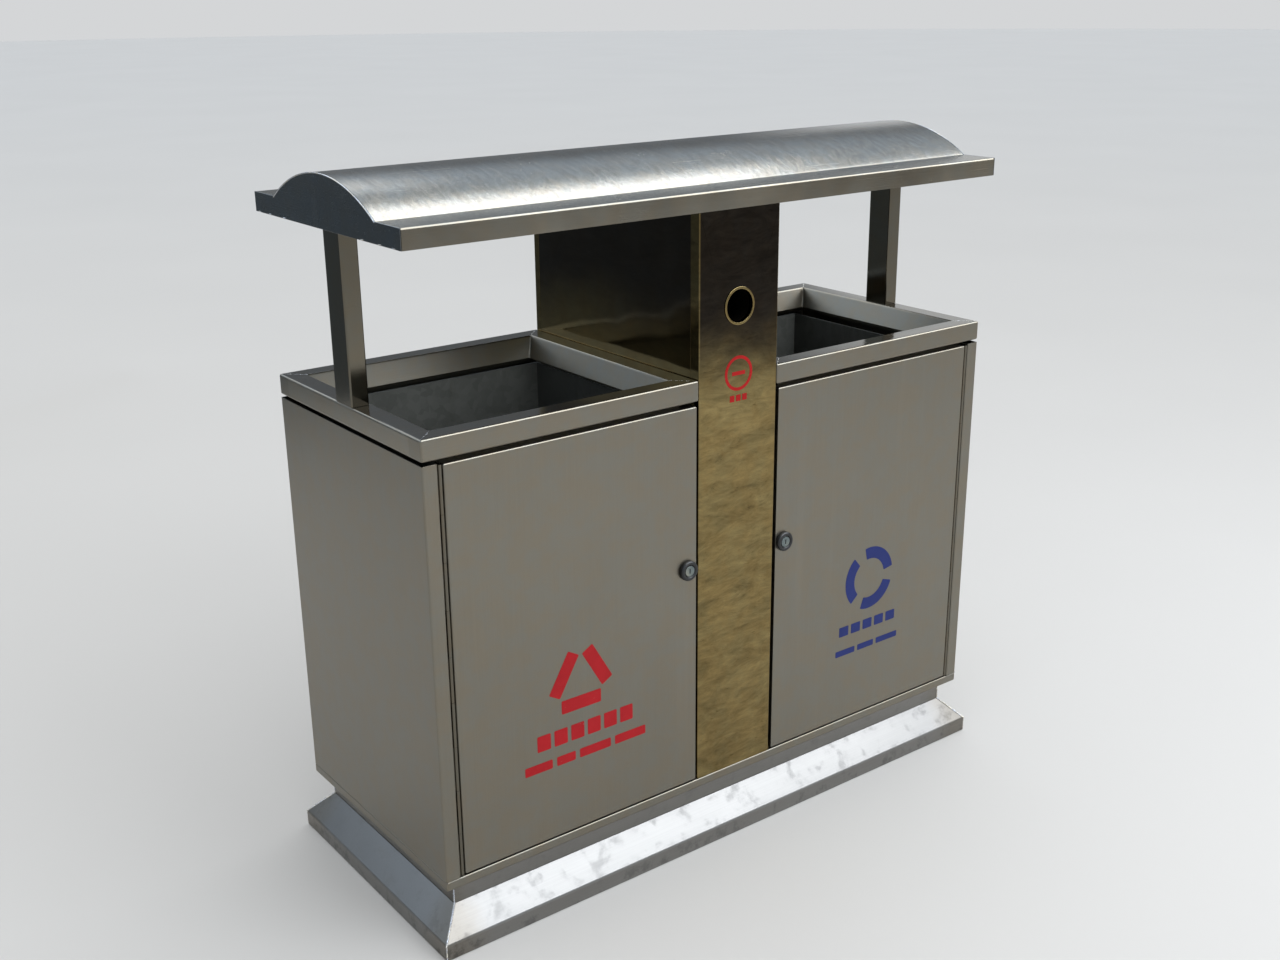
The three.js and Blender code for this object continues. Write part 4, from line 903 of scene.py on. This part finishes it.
class STATION_OT_signs(PieceOperator):
    """Apply the plain coloured signs to the doors and the column"""

    bl_idname = "station.signs"
    bl_label = "Signs"

    def build(self, scene):
        film = scene.station_signs.film / MM
        self.left_sign(film)
        self.right_sign(film)
        self.column_sign(film)

    @staticmethod
    def bars(shape, front, film, spans, low, high):
        """A row of plain bars on the sheet whose front is given."""
        for start, end in spans:
            add_box(shape, (start, front - film, low), (end, front + FILM_SUNK, high))

    @staticmethod
    def round_corners(shape, radius):
        """Rounds the corners of flat pieces, which are the edges that run front to back."""
        corners = [
            e for e in sharp_edges(shape)
            if abs((e.verts[0].co - e.verts[1].co).normalized().y) > 0.9
        ]
        bevel(shape, corners, radius * MM, 3)

    @staticmethod
    def ring_part(shape, front, film, centre, inner, outer, start, end):
        """Part of a flat ring, from one angle to another, or all of it."""
        section = bmesh.ops.create_grid(shape, x_segments=1, y_segments=1, size=0.5)["verts"]
        bmesh.ops.scale(shape, vec=Vector((outer - inner, film + FILM_SUNK, 1)) * MM, verts=section)
        pivot = Vector((centre[0], front + (FILM_SUNK - film) / 2, centre[1])) * MM
        out = Vector(((inner + outer) / 2, 0, 0)) * MM
        bmesh.ops.translate(shape, vec=pivot + out, verts=section)
        turn = Matrix.Rotation(-math.radians(start), 3, "Y")
        bmesh.ops.rotate(shape, cent=pivot, matrix=turn, verts=section)
        face = section[0].link_faces[0]
        closed = end - start == 360
        if closed:
            profile = list(face.edges)
            bmesh.ops.delete(shape, geom=[face], context="FACES_ONLY")
        else:
            profile = [face]
            bmesh.ops.duplicate(shape, geom=[face])
        bmesh.ops.spin(
            shape, geom=profile, cent=pivot, axis=(0, -1, 0), angle=math.radians(end - start),
            steps=max(4, round((end - start) / 6)), use_duplicate=False, use_merge=closed,
        )
        bmesh.ops.remove_doubles(shape, verts=shape.verts, dist=1e-7)
        bmesh.ops.recalc_face_normals(shape, faces=shape.faces)

    def left_sign(self, film):
        """Three plain bars set in a triangle, over a row of blocks and a row of bars."""
        shape = bmesh.new()
        centre = Vector((-305, 0, 372)) * MM
        for turn in (0, 120, 240):
            bar = add_box(shape, (-36, DOOR_FRONT - film, -46), (36, DOOR_FRONT + FILM_SUNK, -24))
            aim = Matrix.Rotation(math.radians(turn), 3, "Y")
            bmesh.ops.rotate(shape, cent=(0, 0, 0), matrix=aim, verts=bar)
            bmesh.ops.translate(shape, vec=centre, verts=bar)
        blocks = [(-386 + 30.5 * i, -386 + 30.5 * i + 24) for i in range(6)]
        dashes = [(-409, -360), (-352, -318), (-310, -252), (-244, -185)]
        self.bars(shape, DOOR_FRONT, film, blocks, 277, 303)
        self.bars(shape, DOOR_FRONT, film, dashes, 243, 258)
        self.round_corners(shape, 2.0)
        to_object("sign_left", shape, "red_film", "door_left")

    def right_sign(self, film):
        """A broken ring of three plain arcs, over a row of blocks and a row of bars."""
        shape = bmesh.new()
        for start in (10, 130, 250):
            self.ring_part(shape, DOOR_FRONT, film, (305, 378), 36, 57, start, start + 92)
        blocks = [(237 + 28.5 * i, 237 + 28.5 * i + 22) for i in range(5)]
        dashes = [(230, 276), (283, 322), (329, 381)]
        self.bars(shape, DOOR_FRONT, film, blocks, 283, 301)
        self.bars(shape, DOOR_FRONT, film, dashes, 246, 257)
        self.round_corners(shape, 1.6)
        to_object("sign_right", shape, "blue_film", "door_right")

    def column_sign(self, film):
        """A ring with a short bar in it, over three blocks."""
        shape = bmesh.new()
        self.ring_part(shape, COLUMN_FRONT, film, (0, 795), 22.5, 27.5, 0, 360)
        self.bars(shape, COLUMN_FRONT, film, [(-13, 13)], 792, 798)
        self.bars(shape, COLUMN_FRONT, film, [(-17, -8), (-4.5, 4.5), (8, 17)], 751, 761)
        to_object("sign_column", shape, "dark_red_film", "station")


class STATION_OT_stage(PieceOperator):
    """Set out the floor, the soft lights, the room and the camera"""

    bl_idname = "station.stage"
    bl_label = "Stage"

    NEAR_FLOOR = 9.0
    FAR_FLOOR = 40.0
    CAMERA_PLACE = (-1.4118, -1.8357, 1.3627)
    CAMERA_TURN = (70.973, 0.524, -37.262)

    def build(self, scene):
        looks = scene.station_stage
        self.floor("floor_near", self.NEAR_FLOOR, None)
        far = self.floor("floor_far", self.FAR_FLOOR, self.NEAR_FLOOR)
        far.visible_glossy = False
        self.mirrored_box("key_left", looks.key_power, (2.3, 3.6), (0.55, -1.2, 2.75))
        self.mirrored_box("key_right", looks.key_power, (2.5, 3.3), (2.95, -1.5, 2.75))
        self.mirrored_box("back_light", looks.back_power, (4.0, 2.6), (-1.2, 2.6, 2.75))
        fill = self.soft_box("fill_light", looks.fill_power, (2.4, 2.0), (1.1, -3.1, 2.4))
        toward = Vector((0.0, 0.0, 0.5)) - fill.location
        fill.rotation_euler = toward.to_track_quat("-Z", "Y").to_euler()
        fill.visible_glossy = False
        self.flag("flag_back_left", (-1.75, 2.55), 25.0, (4.4, 0.95), (0.120, 0.140, 0.155))
        self.room(scene, looks)
        view = bpy.data.cameras.new("camera")
        view.lens = looks.lens
        view.sensor_width = 36.0
        camera = add_object("camera", view)
        camera.location = self.CAMERA_PLACE
        camera.rotation_euler = [math.radians(a) for a in self.CAMERA_TURN]
        scene.camera = camera
        scene.view_settings.view_transform = "Standard"

    def floor(self, name, outer, inner):
        """A flat disc, or a ring where it has an inner radius."""
        shape = bmesh.new()
        bmesh.ops.create_circle(shape, segments=96, radius=outer, cap_ends=inner is None)
        if inner is not None:
            bmesh.ops.create_circle(shape, segments=96, radius=inner)
            bmesh.ops.bridge_loops(shape, edges=shape.edges)
        bmesh.ops.recalc_face_normals(shape, faces=shape.faces)
        if next(iter(shape.faces)).normal.z < 0:
            bmesh.ops.reverse_faces(shape, faces=shape.faces)
        mesh = bpy.data.meshes.new(name)
        shape.to_mesh(mesh)
        shape.free()
        mesh.materials.append(self.floor_material())
        ground = add_object(name, mesh)
        return ground

    @staticmethod
    def floor_material():
        """Pale matt floor with a faint cast, made once for both of its parts."""
        if "floor" not in _made:
            _made["floor"], r = node_material("floor")
            cast = r.noise(r.place(), 0.8, 2.0)
            colour = tuple(bpy.context.scene.station_stage.floor)
            r.surface(Base_Color=r.shade(colour, 0.97 + cast * 0.06), Roughness=0.8)
        return _made["floor"]

    def mirrored_box(self, name, radiance, size, place):
        """A soft box that only shows in the steel's reflections."""
        box = self.soft_box(name, radiance * math.pi * size[0] * size[1], size, place)
        box.visible_diffuse = False

    @staticmethod
    def flag(name, place, turn, size, colour):
        """A standing dim board that only shows in the steel's reflections."""
        shape = bmesh.new()
        width, height = size
        corners = bmesh.ops.create_grid(shape, x_segments=1, y_segments=1, size=0.5)["verts"]
        bmesh.ops.scale(shape, vec=(width, height, 1.0), verts=corners)
        bmesh.ops.rotate(shape, matrix=Matrix.Rotation(math.radians(90), 3, "X"), verts=corners)
        bmesh.ops.rotate(shape, matrix=Matrix.Rotation(math.radians(turn), 3, "Z"), verts=corners)
        bmesh.ops.translate(shape, vec=(*place, height / 2), verts=corners)
        mesh = bpy.data.meshes.new(name)
        shape.to_mesh(mesh)
        shape.free()
        mat, r = node_material(name)
        glow = r.add("ShaderNodeEmission", None, {"Color": (*colour, 1.0), "Strength": 1.0})
        r.add("ShaderNodeOutputMaterial", None, {"Surface": glow})
        mesh.materials.append(mat)
        board = add_object(name, mesh)
        board.visible_camera = board.visible_diffuse = board.visible_shadow = False

    @staticmethod
    def soft_box(name, power, size, place):
        """A rectangular area light that faces down."""
        light = bpy.data.lights.new(name, "AREA")
        light.shape = "RECTANGLE"
        light.size, light.size_y = size
        light.energy = power
        light.color = (0.92, 0.95, 1.0)
        holder = add_object(name, light)
        holder.location = place
        return holder

    @staticmethod
    def room(scene, looks):
        """A dim bluish room that brightens overhead, and is pale where the camera looks at it."""
        world = bpy.data.worlds.new("room")
        world.use_nodes = True
        scene.world = world
        r = Recipe(world.node_tree)
        toward = r.add("ShaderNodeTexCoord", output="Generated")
        right, ahead, up = (r.axis(toward, name) for name in "XYZ")
        level = r.blend(
            ahead.over(-0.10, -0.60),
            tuple(looks.horizon * c for c in (0.92, 1.00, 1.10)),
            tuple(looks.front * c for c in (0.98, 1.00, 1.02)),
        )
        lift = up - right * 0.25
        seen = r.blend(lift.over(0.16, 0.46), level, tuple(looks.sky * c for c in (0.80, 0.95, 1.15)))
        window = right.over(0.64, 0.72) * ahead.over(-0.1, 0.2)
        window = window * up.over(0.34, 0.24) * up.over(-0.06, 0.0)
        seen = r.blend(window, seen, (0.80, 0.83, 0.86))
        below = up.over(0.0, -0.06)
        seen = r.blend(below, seen, (0.300, 0.290, 0.270))
        dull = r.add("ShaderNodeLightPath", output="Is Diffuse Ray")
        even = 0.55 + ahead.over(0.8, -0.8) * 0.5 + right.over(-0.8, 0.8) * 0.4
        colour = r.blend(dull, seen, r.shade((looks.ambient,) * 3, even))
        camera = r.add("ShaderNodeLightPath", output="Is Camera Ray")
        colour = r.blend(camera, colour, (0.66, 0.67, 0.68))
        glow = r.add("ShaderNodeBackground", None, {"Color": colour, "Strength": 1.0})
        r.add("ShaderNodeOutputWorld", None, {"Surface": glow})


OPERATORS = (
    STATION_OT_panels,
    STATION_OT_plinth,
    STATION_OT_rims,
    STATION_OT_canopy,
    STATION_OT_column,
    STATION_OT_liners,
    STATION_OT_hardware,
    STATION_OT_welds,
    STATION_OT_signs,
    STATION_OT_stage,
)


class STATION_PT_sidebar(bpy.types.Panel):
    """Lists the station's settings and pieces"""

    bl_label = "Recycling Station"
    bl_space_type = "VIEW_3D"
    bl_region_type = "UI"
    bl_category = "Recycling Station"

    def draw(self, context):
        for group, kind in SETTINGS.items():
            column = self.layout.column(heading=kind.__doc__)
            for setting in kind.__annotations__:
                column.prop(getattr(context.scene, group), setting)
        for operator in OPERATORS:
            self.layout.operator(operator.bl_idname)


def register():
    for kind in (*SETTINGS.values(), *OPERATORS, STATION_PT_sidebar):
        bpy.utils.register_class(kind)
    for group, kind in SETTINGS.items():
        setattr(bpy.types.Scene, group, PointerProperty(type=kind))


def unregister():
    for group in SETTINGS:
        delattr(bpy.types.Scene, group)
    for kind in reversed((*SETTINGS.values(), *OPERATORS, STATION_PT_sidebar)):
        bpy.utils.unregister_class(kind)


def main():
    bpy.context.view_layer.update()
    register()
    for operator in OPERATORS:
        group, name = operator.bl_idname.split(".")
        getattr(getattr(bpy.ops, group), name)()


if __name__ == "__main__":
    main()
